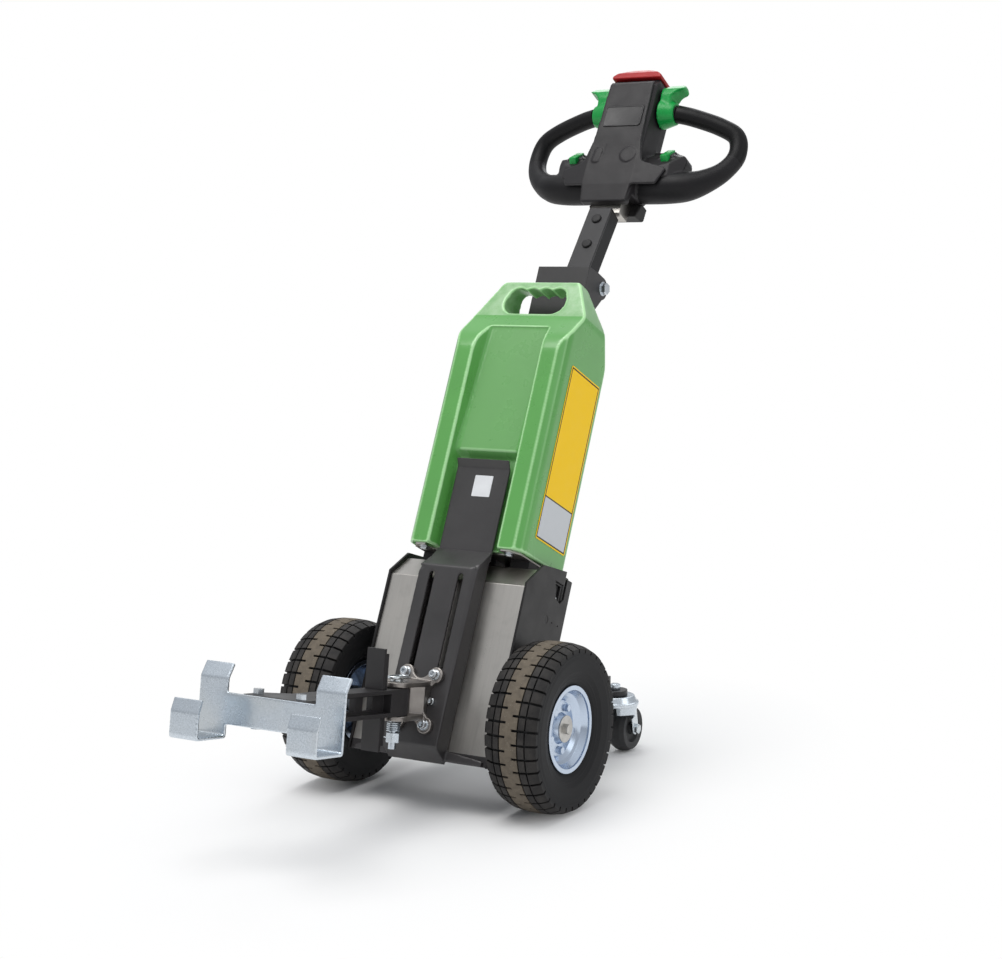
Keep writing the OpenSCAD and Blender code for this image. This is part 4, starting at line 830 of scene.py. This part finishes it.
# The finish of a material slot where it has another name, and of the nodes that differ from their slot
FINISH_OF_SLOT = {
    "black_plate": "powder_black",
    "raw_steel": "machined",
    "gearbox": "gear_grey",
    "motor": "motor_black",
    "head_plastic": "head_black",
    "lever_green": "button_green",
    "button_red": "pad_red",
    "cells": "cells_grey",
}
FINISH_OF_NODE = {
    # The arm's sides take the darker coat as painted shade
    "tiller_arm": "shaded_black",
    "arm_front_plate": "arm_black",
    "side_plate_left": "side_black",
    "side_plate_right": "side_black",
    "column_bolts": "screw_zinc",
    "casting_bolts": "screw_zinc",
    "hook_bolts": "screw_zinc",
    "pivot_bolt": "screw_zinc",
    "under_cover": "dark_plastic",
    "rim_left": "rim_zinc",
    "rim_right": "rim_zinc",
}


class TUG_OT_finishes(bpy.types.Operator):
    """Makes the finishes and gives each CAD node its own"""

    bl_idname = "tug.finishes"
    bl_label = "Finishes"

    def execute(self, context):
        build_finishes(context.scene.tug_finishes)
        for part in frame["record"]["subparts"]:
            node, slot = part["node"], part["material_slot"]
            paint(frame["nodes"][node], FINISH_OF_NODE.get(node, FINISH_OF_SLOT.get(slot, slot)))
        return {"FINISHED"}


# The battery: the room round its cells, the sheets' corner, thickness and stand-off, and the screws' places
CORE_ROOM = Vector((0.0025, 0.0025, 0.0025))
LABEL_CORNER, LABEL_THICK, LABEL_OUT = 0.004, 0.0004, 0.0003
BASE_SCREW_OUT, BASE_SCREW_BACK, BASE_SCREW_IN = 0.078, -0.046, 0.0035
# Screw heads: radius, height and, where there is one, the washer's radius
BASE_SCREW = (0.0062, 0.0045, 0.0085)
POCKET_NUT = (0.0030, 0.0022, 0.0042)
CASTING_BOLT = (0.0066, 0.0072)
SLOT_SCREW = (0.0056, 0.0050)
FORK_NUT = (0.0092, 0.0084)
AXLE_HEAD = (0.0085, 0.0055)


def case_skin(soft):
    """The battery case with its edges softened."""
    low, high = span("battery_cells", CHASSIS)
    core = block("core", low - CORE_ROOM, high + CORE_ROOM, HAIR, 1)
    settle(core, CHASSIS)
    case = join([node_copy("battery_case", "case_skin"), core], "case_skin")
    skin(case, soft.case_cell, soft.case_rounds)
    hand_over(case, "battery", "case_green", replaces=("battery_case",))


def side_sheet(side, word):
    """The bare sheet on one side of the case."""
    half_back, half_up = (LABEL_BACK[1] - LABEL_BACK[0]) / 2, (LABEL_UP[1] - LABEL_UP[0]) / 2
    label = plate("side_sheet_" + word, half_back, half_up, LABEL_CORNER, LABEL_THICK)
    out = span("battery_case", CHASSIS)[1].x + LABEL_OUT
    centre = at(side * out, sum(LABEL_BACK) / 2, sum(LABEL_UP) / 2)
    hand_over(label, "battery", "label_yellow", CHASSIS @ centre @ turned(side * 90, "Z"))


def base_screw(side, word):
    """One of the two screws below the battery."""
    foot = span("battery_base", CHASSIS)[0].z
    spot = (side * BASE_SCREW_OUT, BASE_SCREW_BACK, foot + BASE_SCREW_IN)
    screw = hex_screw("base_screw_" + word, spot, (0, 0, -1), *BASE_SCREW)
    hand_over(screw, "battery", "screw_zinc", CHASSIS)


class TUG_OT_battery(bpy.types.Operator):
    """Softens the battery case and adds its bare side panels and screws"""

    bl_idname = "tug.battery"
    bl_label = "Battery case"

    def execute(self, context):
        case_skin(context.scene.tug_softness)
        for side, word in SIDES:
            side_sheet(side, word)
        for side, word in SIDES:
            base_screw(side, word)
        return {"FINISHED"}


# The strap's upper bend: the edges of at least this width, above and in front of these places
BEND_WIDTH, BEND_LOW, BEND_BACK = 0.09, 0.19, -0.080
BEND_ROUND = 0.009
# The upper plate's lip: its height and how far it is brought forward
LIP_HIGH, LIP_FORWARD = 0.008, 0.016
# The bracket and nut in each hook pocket, measured from the upper back corner of the side plate
POCKET_IN = 0.0078
BRACKET_THICK, BRACKET_HALF, BRACKET_DOWN, BRACKET_FORWARD = 0.002, 0.026, 0.032, 0.0275
POCKET_NUT_DOWN, POCKET_NUT_FORWARD = 0.048, 0.034
# The bare plate on the upper plate: half width, half height, corner and thickness, and where it sits
BARE_PLATE = (0.0165, 0.0175, 0.0015, 0.0005)
BARE_SIDEWAYS, BARE_SUNK, BARE_UP = 0.0053, 0.0001, 0.357


def strap_skin():
    """The strap with its upper bend rounded."""
    strap = node_copy("center_strap", "strap_skin")
    to_chassis = CHASSIS.inverted()

    def in_bend(edge):
        a, b = (to_chassis @ spot for spot in ends(strap, edge))
        return abs(a.x - b.x) > BEND_WIDTH and min(a.z, b.z) > BEND_LOW and max(a.y, b.y) < BEND_BACK

    pick(strap, "EDGE", in_bend)
    bpy.ops.mesh.bevel(offset=BEND_ROUND, segments=6, affect="EDGES")
    mode("OBJECT")
    skin(strap, 0.0015, 5, 0.5)
    hand_over(strap, "chassis", "strap_black", replaces=("center_strap",))


def upper_plate_skin():
    """The inclined plate with its lip bent forward."""
    upper = node_copy("upper_plate", "upper_plate_skin")
    to_chassis = CHASSIS.inverted()
    top = span("upper_plate", CHASSIS)[1].z
    pick(upper, "VERT", lambda point: (to_chassis @ point.co).z > top - LIP_HIGH)
    bpy.ops.transform.translate(value=CHASSIS.to_3x3() @ Vector((0, -LIP_FORWARD, 0)))
    mode("OBJECT")
    skin(upper, 0.0012, 4, 0.5)
    hand_over(upper, "chassis", "strap_black", replaces=("upper_plate",))


def pocket_bracket(side, word):
    """The bracket inside one hook pocket, painted near-black as painted shade in the pocket, and the nut on it."""
    corner = span("side_plate_right", CHASSIS)[1]
    inner = side * (corner.x - POCKET_IN)
    half = Vector((BRACKET_THICK / 2, BRACKET_HALF, BRACKET_HALF))
    bracket = block("pocket_bracket_" + word, -half, half, 0.0008, 2)
    centre = at(inner, corner.y - BRACKET_FORWARD, corner.z - BRACKET_DOWN)
    settle(bracket, CHASSIS @ centre)
    spot = (inner + side * BRACKET_THICK / 2, corner.y - POCKET_NUT_FORWARD, corner.z - POCKET_NUT_DOWN)
    nut = hex_screw("pocket_nut_" + word, spot, (side, 0, 0), *POCKET_NUT)
    hand_over(nut, "chassis", "screw_zinc", CHASSIS)
    # Painted shade: the bracket takes the darkest coat so that the pocket reads as shade
    hand_over(bracket, "chassis", "shaded_black")


def bare_plate():
    """The bare pale plate on the inclined plate."""
    bare = plate("bare_plate", *BARE_PLATE)
    face = span("upper_plate", CHASSIS)[0].y
    centre = at(BARE_SIDEWAYS, face + BARE_SUNK, BARE_UP)
    hand_over(bare, "chassis", "sticker_white", CHASSIS @ centre)


class TUG_OT_chassis(bpy.types.Operator):
    """Rounds the bends of the strap and the upper plate, and adds the bare plate and the small fittings"""

    bl_idname = "tug.chassis"
    bl_label = "Chassis"

    def execute(self, context):
        strap_skin()
        upper_plate_skin()
        for side, word in SIDES:
            pocket_bracket(side, word)
        bare_plate()
        return {"FINISHED"}


# Guides of a loop from the head's side round to its shoulder: shares of the half width, of the rise and of
# the sweep, and how far the radius has gone from the grip's to the limb's
LOOP_GUIDES = (
    (0.41, 1.00, 0.04, 0), (0.56, 0.97, 0.24, 0), (0.81, 0.885, 0.65, 0), (0.965, 0.77, 0.94, 0),
    (1.00, 0.53, 1.00, 0), (0.93, 0.29, 0.75, 0.1), (0.793, 0.115, 0.45, 0.45),
    (0.65, 0.03, 0.25, 0.85), (0.465, 0.00, 0.12, 1), (0.24, 0.00, 0.12, 1),
)
# The steps between two guides, and the step where the rubber ends
GUIDE_STEPS, SEAM_STEP = 12, 52
# Where the lower limb lies in the head's frame, and its radius
LIMB_BACK, LIMB_UP, LIMB_RADIUS = 0.045, 0.225, 0.028


class TUG_OT_loops(bpy.types.Operator):
    """Sweeps the two hand loops, rubber grip and plastic limb"""

    bl_idname = "tug.loops"
    bl_label = "Hand loops"

    def execute(self, context):
        loops = context.scene.tug_loops
        for side, word in SIDES:
            guides = []
            for out, up, back, swell in LOOP_GUIDES:
                radius = loops.grip + (LIMB_RADIUS - loops.grip) * swell
                guides.append((side * out * loops.half, LIMB_BACK + back * loops.sweep,
                               LIMB_UP + up * loops.rise, radius))
            path = smooth_path(guides, GUIDE_STEPS)
            grip = bent_bar("grip_skin_" + word, path[:SEAM_STEP + 1])
            hand_over(grip, "tiller", "grip_rubber", HEAD, ("grip_" + word,))
            limb = bent_bar("limb_skin_" + word, path[SEAM_STEP:])
            hand_over(limb, "tiller", "limb_black", HEAD, ("handle_" + word,))
        return {"FINISHED"}


# Softened nodes of the head: node, piece, finish, slot, body and the smoothing rounds beyond the head's own
HEAD_PARTS = (
    ("head_housing", "housing_skin", "head_black", "head_plastic", "tiller", 2),
    ("head_cover", "cover_skin", "head_black", "head_plastic", "tiller", -1),
    ("belly_button", "pad_skin", "pad_red", "button_red", "belly_button", 4),
    ("thumb_lever_left", "lever_skin_left", "lever_green", "lever_green", "thumb_left", 13),
    ("thumb_lever_right", "lever_skin_right", "lever_green", "lever_green", "thumb_right", 13),
    ("under_cover", "under_skin", "dark_plastic", "head_plastic", "tiller", 0),
)
# The housing is the largest of them and has a coarser grid
HOUSING_COARSER = 1.2
# Where a push button sits on the head, and how far the source's recess and the scene's button tilt back
BUTTON_OUT, BUTTON_BACK, BUTTON_UP = 0.090, 0.032, 0.281
RECESS_TILT, BUTTON_TILT = 32, 46
# Boxes in a button's own place: what fills the recess, the collar round the button, and the button
RECESS_BOX = ((-0.0158, -0.0068, -0.0072), (0.0158, 0.0068, -0.0004))
COLLAR_BOX = ((-0.0100, -0.0060, -0.0160), (0.0100, 0.0195, 0.0016))
BUTTON_BOX = ((-0.0072, -0.0175, -0.0120), (0.0072, 0.0175, 0.0048))
# The left boss on the head's face: how the source's is pressed in, and the slanted bar in its place
BOSS_DEEP, BOSS_SIDE, BOSS_PRESSED = 0.0007, -0.012, 0.0019
BOSS_BAR = (0.0066, 0.0148, 0.0055, 0.0035)
BAR_SIDEWAYS, BAR_SUNK, BAR_UP, BAR_SLANT = -0.031, 0.0036, 0.266, 8
# The name panel: its corner, its thickness, and the width and depth of the groove round its face
PANEL_CORNER, PANEL_THICK, PANEL_RIM, PANEL_GROOVE = 0.006, 0.0022, 0.0014, 0.0006
# The two domed plugs on the arm's front plate, and how the plate's face lies behind its foremost point
PLUG_HEIGHTS = ((0.082, "low"), (0.1375, "high"))
PLUG_RADIUS, PLUG_DOME, PLUG_OUT, PLUG_IN, PLATE_BACK = 0.0090, 0.0034, 0.0036, 0.001, 0.003


def button_place(side, tilt):
    """Where a push button sits on the head, tilted back by this many degrees."""
    centre = at(side * BUTTON_OUT, BUTTON_BACK, BUTTON_UP)
    return centre @ turned(tilt, "X")


def with_collars(housing):
    """The housing with its recesses filled and a collar round each push button."""
    fills = []
    for side in HALVES:
        fill = block("recess_fill", *RECESS_BOX, HAIR, 1)
        settle(fill, HEAD @ button_place(side, RECESS_TILT))
        collar = block("collar", *COLLAR_BOX, 0.0030, 4)
        settle(collar, HEAD @ button_place(side, BUTTON_TILT))
        fills += [fill, collar]
    return join([housing] + fills, "housing_skin")


def with_slanted_boss(cover):
    """The cover with its left boss pressed in and a slanted bar in its place."""
    to_head = HEAD.inverted()
    face = span("head_cover", HEAD)[0].y

    def on_boss(point):
        spot = to_head @ point.co
        return spot.y < face + BOSS_DEEP and spot.x < BOSS_SIDE

    pick(cover, "VERT", on_boss)
    bpy.ops.transform.translate(value=HEAD.to_3x3() @ Vector((0, BOSS_PRESSED, 0)))
    mode("OBJECT")
    bar = plate("slanted_boss", *BOSS_BAR)
    centre = at(BAR_SIDEWAYS, face + BAR_SUNK, BAR_UP)
    settle(bar, HEAD @ centre @ turned(BAR_SLANT, "Y"))
    return join([cover, bar], "cover_skin")


def push_button(side, word):
    """One push button."""
    button = block("button_skin_" + word, *BUTTON_BOX, 0.0020, 4)
    hand_over(button, "button_" + word, "button_green", HEAD @ button_place(side, BUTTON_TILT),
              ("push_button_" + word,))


def name_panel():
    """The bare name panel with a groove round its face."""
    low, high = span("name_panel", HEAD)
    panel = plate("panel_skin", (high.x - low.x) / 2, (high.z - low.z) / 2, PANEL_CORNER, PANEL_THICK, 8)
    pick(panel, "FACE", lambda face: face.normal.y < -0.9)
    bpy.ops.mesh.inset(thickness=PANEL_RIM, depth=0)
    bpy.ops.mesh.inset(thickness=PANEL_GROOVE, depth=-PANEL_GROOVE)
    mode("OBJECT")
    round_edges(panel, 0.0003, 2, 40)
    centre = at((low.x + high.x) / 2, high.y, (low.z + high.z) / 2)
    hand_over(panel, "tiller", "panel_black", HEAD @ centre, ("name_panel",))


def arm_plug(height, word):
    """One domed plug on the arm's front plate."""
    face = span("arm_front_plate", ARM)[0].y + PLATE_BACK
    back, front = (0, face + PLUG_IN, height), (0, face - PLUG_OUT, height)
    plug = fixed(rod("arm_plug_" + word, back, front, PLUG_RADIUS, 40))
    round_edges(plug, PLUG_DOME, 5)
    hand_over(plug, "tiller", "dark_plastic", ARM)


class TUG_OT_head(bpy.types.Operator):
    """Softens the control head, its pad, levers and covers"""

    bl_idname = "tug.head"
    bl_label = "Control head"

    def execute(self, context):
        soft = context.scene.tug_softness
        for node, name, finish, slot, body, more in HEAD_PARTS:
            piece = node_copy(node, name)
            cell = soft.head_cell
            if node == "head_housing":
                piece = with_collars(piece)
                cell *= HOUSING_COARSER
            if node == "head_cover":
                piece = with_slanted_boss(piece)
            skin(piece, cell, soft.head_rounds + more)
            hand_over(piece, body, finish, replaces=(node,))
        for side, word in SIDES:
            push_button(side, word)
        name_panel()
        for height, word in PLUG_HEIGHTS:
            arm_plug(height, word)
        return {"FINISHED"}


# The pin's spring: its heights in the tow frame, its turns, and the radii of its coil and wire
SPRING_LOW, SPRING_HIGH = -0.0461, -0.0308
SPRING_TURNS, SPRING_STEPS = 5.5, 24
SPRING_COIL, SPRING_WIRE = 0.010, 0.00115
# The casting's bolts, measured sideways and up from its middle, with their washers and stems
CASTING_FACE = -0.0953
BOLT_OUT, BOLT_UP = 0.026, 0.039
BOLT_WASHER, BOLT_WASHER_THICK, STEM_RADIUS, STEM_LONG = 0.0082, 0.0016, 0.004, 0.012
# The screw in the strap's right slot, behind the casting's face
SLOT_SCREW_BACK, SLOT_SCREW_UP = 0.008, -0.001
# The wire clip on the tow pin: its two straight parts, then the middle and radius of its eye
CLIP_WIRE = 0.0008
CLIP_START = ((0.004, 0.0, -0.0560), (-0.012, -0.003, -0.0555), (-0.030, -0.004, -0.0562))
CLIP_EYE, CLIP_EYE_RADIUS = (-0.0335, -0.004, -0.0597), 0.0035


def spring_wire():
    """The pin's spring, wound as a coil of wire round the pin."""
    count = int(SPRING_TURNS * SPRING_STEPS)
    path = []
    for i in range(count + 1):
        angle = 2 * math.pi * i / SPRING_STEPS
        height = SPRING_LOW + (SPRING_HIGH - SPRING_LOW) * i / count
        path.append((SPRING_COIL * math.cos(angle), SPRING_COIL * math.sin(angle), height, SPRING_WIRE))
    spring = bent_bar("spring_wire", path, 3)
    hand_over(spring, "hitch_pin", "zinc", TOW, ("pin_spring",))
    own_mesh(spring)


def casting_bolts():
    """The casting's four socket screws with washers and stems, and the screw in the strap's slot."""
    front = Vector((0, -1, 0))
    spots = [Vector((x * BOLT_OUT, CASTING_FACE, h * BOLT_UP)) for x in HALVES for h in HALVES]
    bolts = []
    for spot in spots:
        seat = spot + front * BOLT_WASHER_THICK
        washer = fixed(rod("washer", spot, seat, BOLT_WASHER, 36))
        round_edges(washer, 0.0004, 2)
        bolts += [washer, socket_screw("bolt", seat, front, *CASTING_BOLT)]
    spot = (BOLT_OUT, CASTING_FACE + SLOT_SCREW_BACK, SLOT_SCREW_UP)
    bolts.append(socket_screw("slot_screw", spot, front, *SLOT_SCREW))
    for spot in spots:
        bolts.append(rod("stem", spot, spot - front * STEM_LONG, STEM_RADIUS, 16))
    hand_over(join(bolts, "casting_bolts_skin"), "chassis", "screw_zinc", CHASSIS, ("casting_bolts",))


def pin_clip():
    """The wire clip on the tow pin, with an eye at its end."""
    path = [(*spot, CLIP_WIRE) for spot in CLIP_START]
    for k in range(11):
        angle = math.pi * k / 6
        path.append((CLIP_EYE[0] - CLIP_EYE_RADIUS * math.sin(angle), CLIP_EYE[1],
                     CLIP_EYE[2] + CLIP_EYE_RADIUS * math.cos(angle), CLIP_WIRE))
    hand_over(bent_bar("pin_clip", path, 3), "hitch_pin", "screw_zinc", TOW)


class TUG_OT_hitch(bpy.types.Operator):
    """Softens the hitch casting and the hook plate, winds the spring and adds the bolts and the clip"""

    bl_idname = "tug.hitch"
    bl_label = "Hitch"

    def execute(self, context):
        casting = soften("hitch_casting", "casting_skin", 0.0011, 6)
        hand_over(casting, "chassis", "cast_steel", replaces=("hitch_casting",))
        spring_wire()
        hook = soften("hook_plate", "hook_skin", 0.0010, 14, 0.45)
        hand_over(hook, "hitch", "zinc", replaces=("hook_plate",))
        casting_bolts()
        pin_clip()
        return {"FINISHED"}


# A caster, measured back and up from the foot of its swivel axis: the axle, its ear, and the cap's seat
AXLE_BACK, AXLE_UP, EAR_RADIUS = 0.039, 0.040, 0.010
CAP_SEAT = 0.0917
# The fork wall's outline in front of the ear, from the ear up to the cap, and its upper back corner
CHEEK_THROAT = [
    (0.0284, 0.0440), (0.0276, 0.0500), (0.0252, 0.0570), (0.0212, 0.0630), (0.0150, 0.0680),
    (0.0060, 0.0715), (-0.0080, 0.0740), (-0.0270, 0.0750), (-0.0300, 0.0905),
]
CHEEK_CORNER = (0.0385, 0.0905)
# The cap's rim and dome, the bell that the walls follow, and the walls
RIM_RADIUS, RIM_BELOW, RIM_ABOVE = 0.0400, 0.0030, 0.0024
DOME_RADIUS, DOME_TOP_RADIUS, DOME_HIGH = 0.0385, 0.0325, 0.0128
BELL_LOW, BELL_LOW_RADIUS, BELL_RADIUS = 0.0400, 0.0280, 0.0395
CHEEK_OUT, CHEEK_THICK, WALL_OUT, WALL_THICK = 0.0190, 0.0030, 0.0285, 0.0220
# The stem and the nut on it, measured down from its top, and the axle with its heads
CASTER_STEM, STEM_DOWN, NUT_DOWN = 0.0060, 0.004, 0.0090
AXLE_RADIUS, AXLE_HALF, AXLE_HEAD_OUT = 0.0048, 0.0210, 0.0205
# Lays an outline drawn in X-Y on its side: its X runs back and its Y runs up
LYING = Matrix(((0, 0, 1, 0), (1, 0, 0, 0), (0, 1, 0, 0), (0, 0, 0, 1)))


def fork_wall(name, out, thick):
    """One wall of a fork, this far to the side."""
    ear = []
    for angle in range(15, -166, -15):
        turn = math.radians(angle)
        ear.append((AXLE_BACK + EAR_RADIUS * math.cos(turn), AXLE_UP + EAR_RADIUS * math.sin(turn)))
    wall = sheet(name, ear + CHEEK_THROAT + [CHEEK_CORNER], thick)
    settle(wall, at(out, 0, 0) @ LYING)
    return wall


def fork_shell(top):
    """The cap, stem, axle and walls of a fork whose stem ends at this height."""
    shell = [
        rod("cap_rim", (0, 0, CAP_SEAT - RIM_BELOW), (0, 0, CAP_SEAT + RIM_ABOVE), RIM_RADIUS, 72),
        rod("cap_dome", (0, 0, CAP_SEAT), (0, 0, CAP_SEAT + DOME_HIGH), DOME_RADIUS, 72, DOME_TOP_RADIUS),
        rod("stem", (0, 0, CAP_SEAT), (0, 0, top - STEM_DOWN), CASTER_STEM, 32),
        rod("axle", (-AXLE_HALF, AXLE_BACK, AXLE_UP), (AXLE_HALF, AXLE_BACK, AXLE_UP), AXLE_RADIUS, 32),
    ]
    for side in HALVES:
        cheek = fork_wall("cheek", side * CHEEK_OUT, CHEEK_THICK)
        wall = fork_wall("wall", side * WALL_OUT, WALL_THICK)
        bell = rod("bell", (0, 0, BELL_LOW), (0, 0, CAP_SEAT), BELL_LOW_RADIUS, 72, BELL_RADIUS)
        apply(wall, "BOOLEAN", operation="INTERSECT", object=bell, solver="EXACT")
        bpy.data.objects.remove(bell)
        shell += [cheek, wall]
    return shell


def caster_fork(word):
    """One pressed caster fork with its nut and the heads of its axle bolt."""
    axis = joint_place("caster_%s_swivel" % word)
    top = span("caster_fork_" + word, Matrix.Identity(4))[1].z
    name = "fork_skin_" + word
    fork = skin(join(fork_shell(top), name), 0.0009, 4, 0.6)
    heads = [hex_screw("nut", (0, 0, top - NUT_DOWN), (0, 0, 1), *FORK_NUT)]
    for side in HALVES:
        spot = (side * AXLE_HEAD_OUT, AXLE_BACK, AXLE_UP)
        heads.append(hex_screw("head", spot, (side, 0, 0), *AXLE_HEAD))
    post = at(axis.x, axis.y, 0)
    hand_over(join([fork] + heads, name), "caster_" + word, "zinc", post, ("caster_fork_" + word,))


class TUG_OT_casters(bpy.types.Operator):
    """Presses the caster forks: domed cap, leaning cheeks, nut and axle bolt"""

    bl_idname = "tug.casters"
    bl_label = "Casters"

    def execute(self, context):
        for word in ("left", "right"):
            caster_fork(word)
        return {"FINISHED"}


# The lamps: name, place, what it looks at, size in metres and colour
LAMPS = (
    ("key", (-0.5, -0.9, 3.6), (0, 0, 0.5), 2.2, (1.0, 0.99, 0.975)),
    ("fill", (3.0, 0.3, 2.2), (0, 0, 0.5), 2.0, (0.97, 0.985, 1.0)),
    ("rim", (-0.6, 2.4, 2.6), (0, 0, 0.7), 1.8, (1.0, 1.0, 1.0)),
)
# The rim lamp's power as a share of the fill lamp's
RIM_SHARE = 1.5
# The sky's strength at the horizon and above, and its colour
SKY_LOW, SKY_HIGH, SKY_COLOUR = 0.46, 0.84, (0.95, 0.97, 1.0)
# The camera that was solved from the photograph: its place, and its tip and turn in degrees
CAMERA_PLACE, CAMERA_TIP, CAMERA_TURN = (1.6178, -2.6599, 0.8302), 83.683, 30.694


def floor_finish(stage):
    """A pale floor that takes shadows near the object and turns plain white further out."""
    finish = Finish("floor_pale", tuple(stage.floor), 0.9, specular=0.1)
    x, y, z = finish.parts(finish.place)
    whiteness = finish.between(finish.length(x / stage.shade_width, y / stage.shade_length), 0.42, 1.25)
    share = finish.seen_by("Camera", "Glossy", "Transmission") * whiteness
    surface = Value(finish, finish.nodes["Principled BSDF"].outputs[0])
    blend = finish.work("MixShader", 0, {0: share, 1: surface, 2: finish.work("Emission", 0)})
    finish.feed(blend, finish.nodes["Material Output"].inputs["Surface"])


def sky():
    """Soft light that grows with height, and plain white where the camera looks past the floor."""
    world = bpy.data.worlds.new("studio")
    bpy.context.scene.world = world
    world.use_nodes = True
    graph = Graph(world.node_tree)
    height = graph.parts(graph.work("TexCoord", "Generated"))[2]
    strength = graph.between(height, 0.0, 1.0, SKY_LOW, SKY_HIGH)
    light = graph.work("Background", 0, {"Color": SKY_COLOUR, "Strength": strength})
    white = graph.work("Background", 0, {"Color": (1, 1, 1)})
    blend = graph.work("MixShader", 0, {0: graph.seen_by("Camera", "Transmission"), 1: light, 2: white})
    graph.feed(blend, graph.nodes["World Output"].inputs["Surface"])


def lamp(name, place, aim, size, colour, watts):
    """A square lamp that looks at a point."""
    light = bpy.data.lights.new(name, "AREA")
    light.shape = "SQUARE"
    light.size = size
    light.energy = watts
    light.color = colour
    holder = bpy.data.objects.new(name, light)
    holder.location = place
    holder.rotation_euler = (Vector(aim) - Vector(place)).to_track_quat("-Z", "Y").to_euler()
    bpy.context.scene.collection.objects.link(holder)


class TUG_OT_stage(bpy.types.Operator):
    """Sets the floor, the lamps and the camera"""

    bl_idname = "tug.stage"
    bl_label = "Stage"

    def execute(self, context):
        stage = context.scene.tug_stage
        deselect()
        bpy.ops.mesh.primitive_plane_add(size=60, location=(0, 0, 0))
        floor = added("floor")
        floor_finish(stage)
        paint(floor, "floor_pale")
        sky()
        for settings, watts in zip(LAMPS, (stage.key_watts, stage.fill_watts, stage.fill_watts * RIM_SHARE)):
            lamp(*settings, watts)
        deselect()
        bpy.ops.object.camera_add(location=CAMERA_PLACE,
                                  rotation=(math.radians(CAMERA_TIP), 0, math.radians(CAMERA_TURN)))
        camera = context.active_object
        camera.name = "camera"
        camera.data.lens = stage.lens
        camera.data.sensor_width = 36
        camera.data.clip_end = 100
        context.scene.camera = camera
        context.scene.view_settings.view_transform = "Standard"
        return {"FINISHED"}


class TUG_PT_panel(bpy.types.Panel):
    """Lists the dressing steps"""

    bl_idname = "TUG_PT_panel"
    bl_label = "Electric tug"
    bl_space_type = "VIEW_3D"
    bl_region_type = "UI"
    bl_category = "Tug"

    def draw(self, context):
        for step in STEPS:
            self.layout.operator(step.bl_idname)


GROUPS = (
    (TugFinishes, "tug_finishes"),
    (TugSoftness, "tug_softness"),
    (TugLoops, "tug_loops"),
    (TugStage, "tug_stage"),
)
STEPS = (
    TUG_OT_finishes,
    TUG_OT_battery,
    TUG_OT_chassis,
    TUG_OT_loops,
    TUG_OT_head,
    TUG_OT_hitch,
    TUG_OT_casters,
    TUG_OT_stage,
)


def register():
    """Registers the settings, the steps and the panel."""
    for group, name in GROUPS:
        bpy.utils.register_class(group)
        setattr(bpy.types.Scene, name, PointerProperty(type=group))
    for step in STEPS:
        bpy.utils.register_class(step)
    bpy.utils.register_class(TUG_PT_panel)


def unregister():
    """Takes everything out again, in the other order."""
    bpy.utils.unregister_class(TUG_PT_panel)
    for step in reversed(STEPS):
        bpy.utils.unregister_class(step)
    for group, name in reversed(GROUPS):
        delattr(bpy.types.Scene, name)
        bpy.utils.unregister_class(group)


def main():
    """Dresses the tug step by step."""
    register()
    for step in STEPS:
        area, name = step.bl_idname.split(".")
        getattr(getattr(bpy.ops, area), name)()


if __name__ == "__main__":
    main()
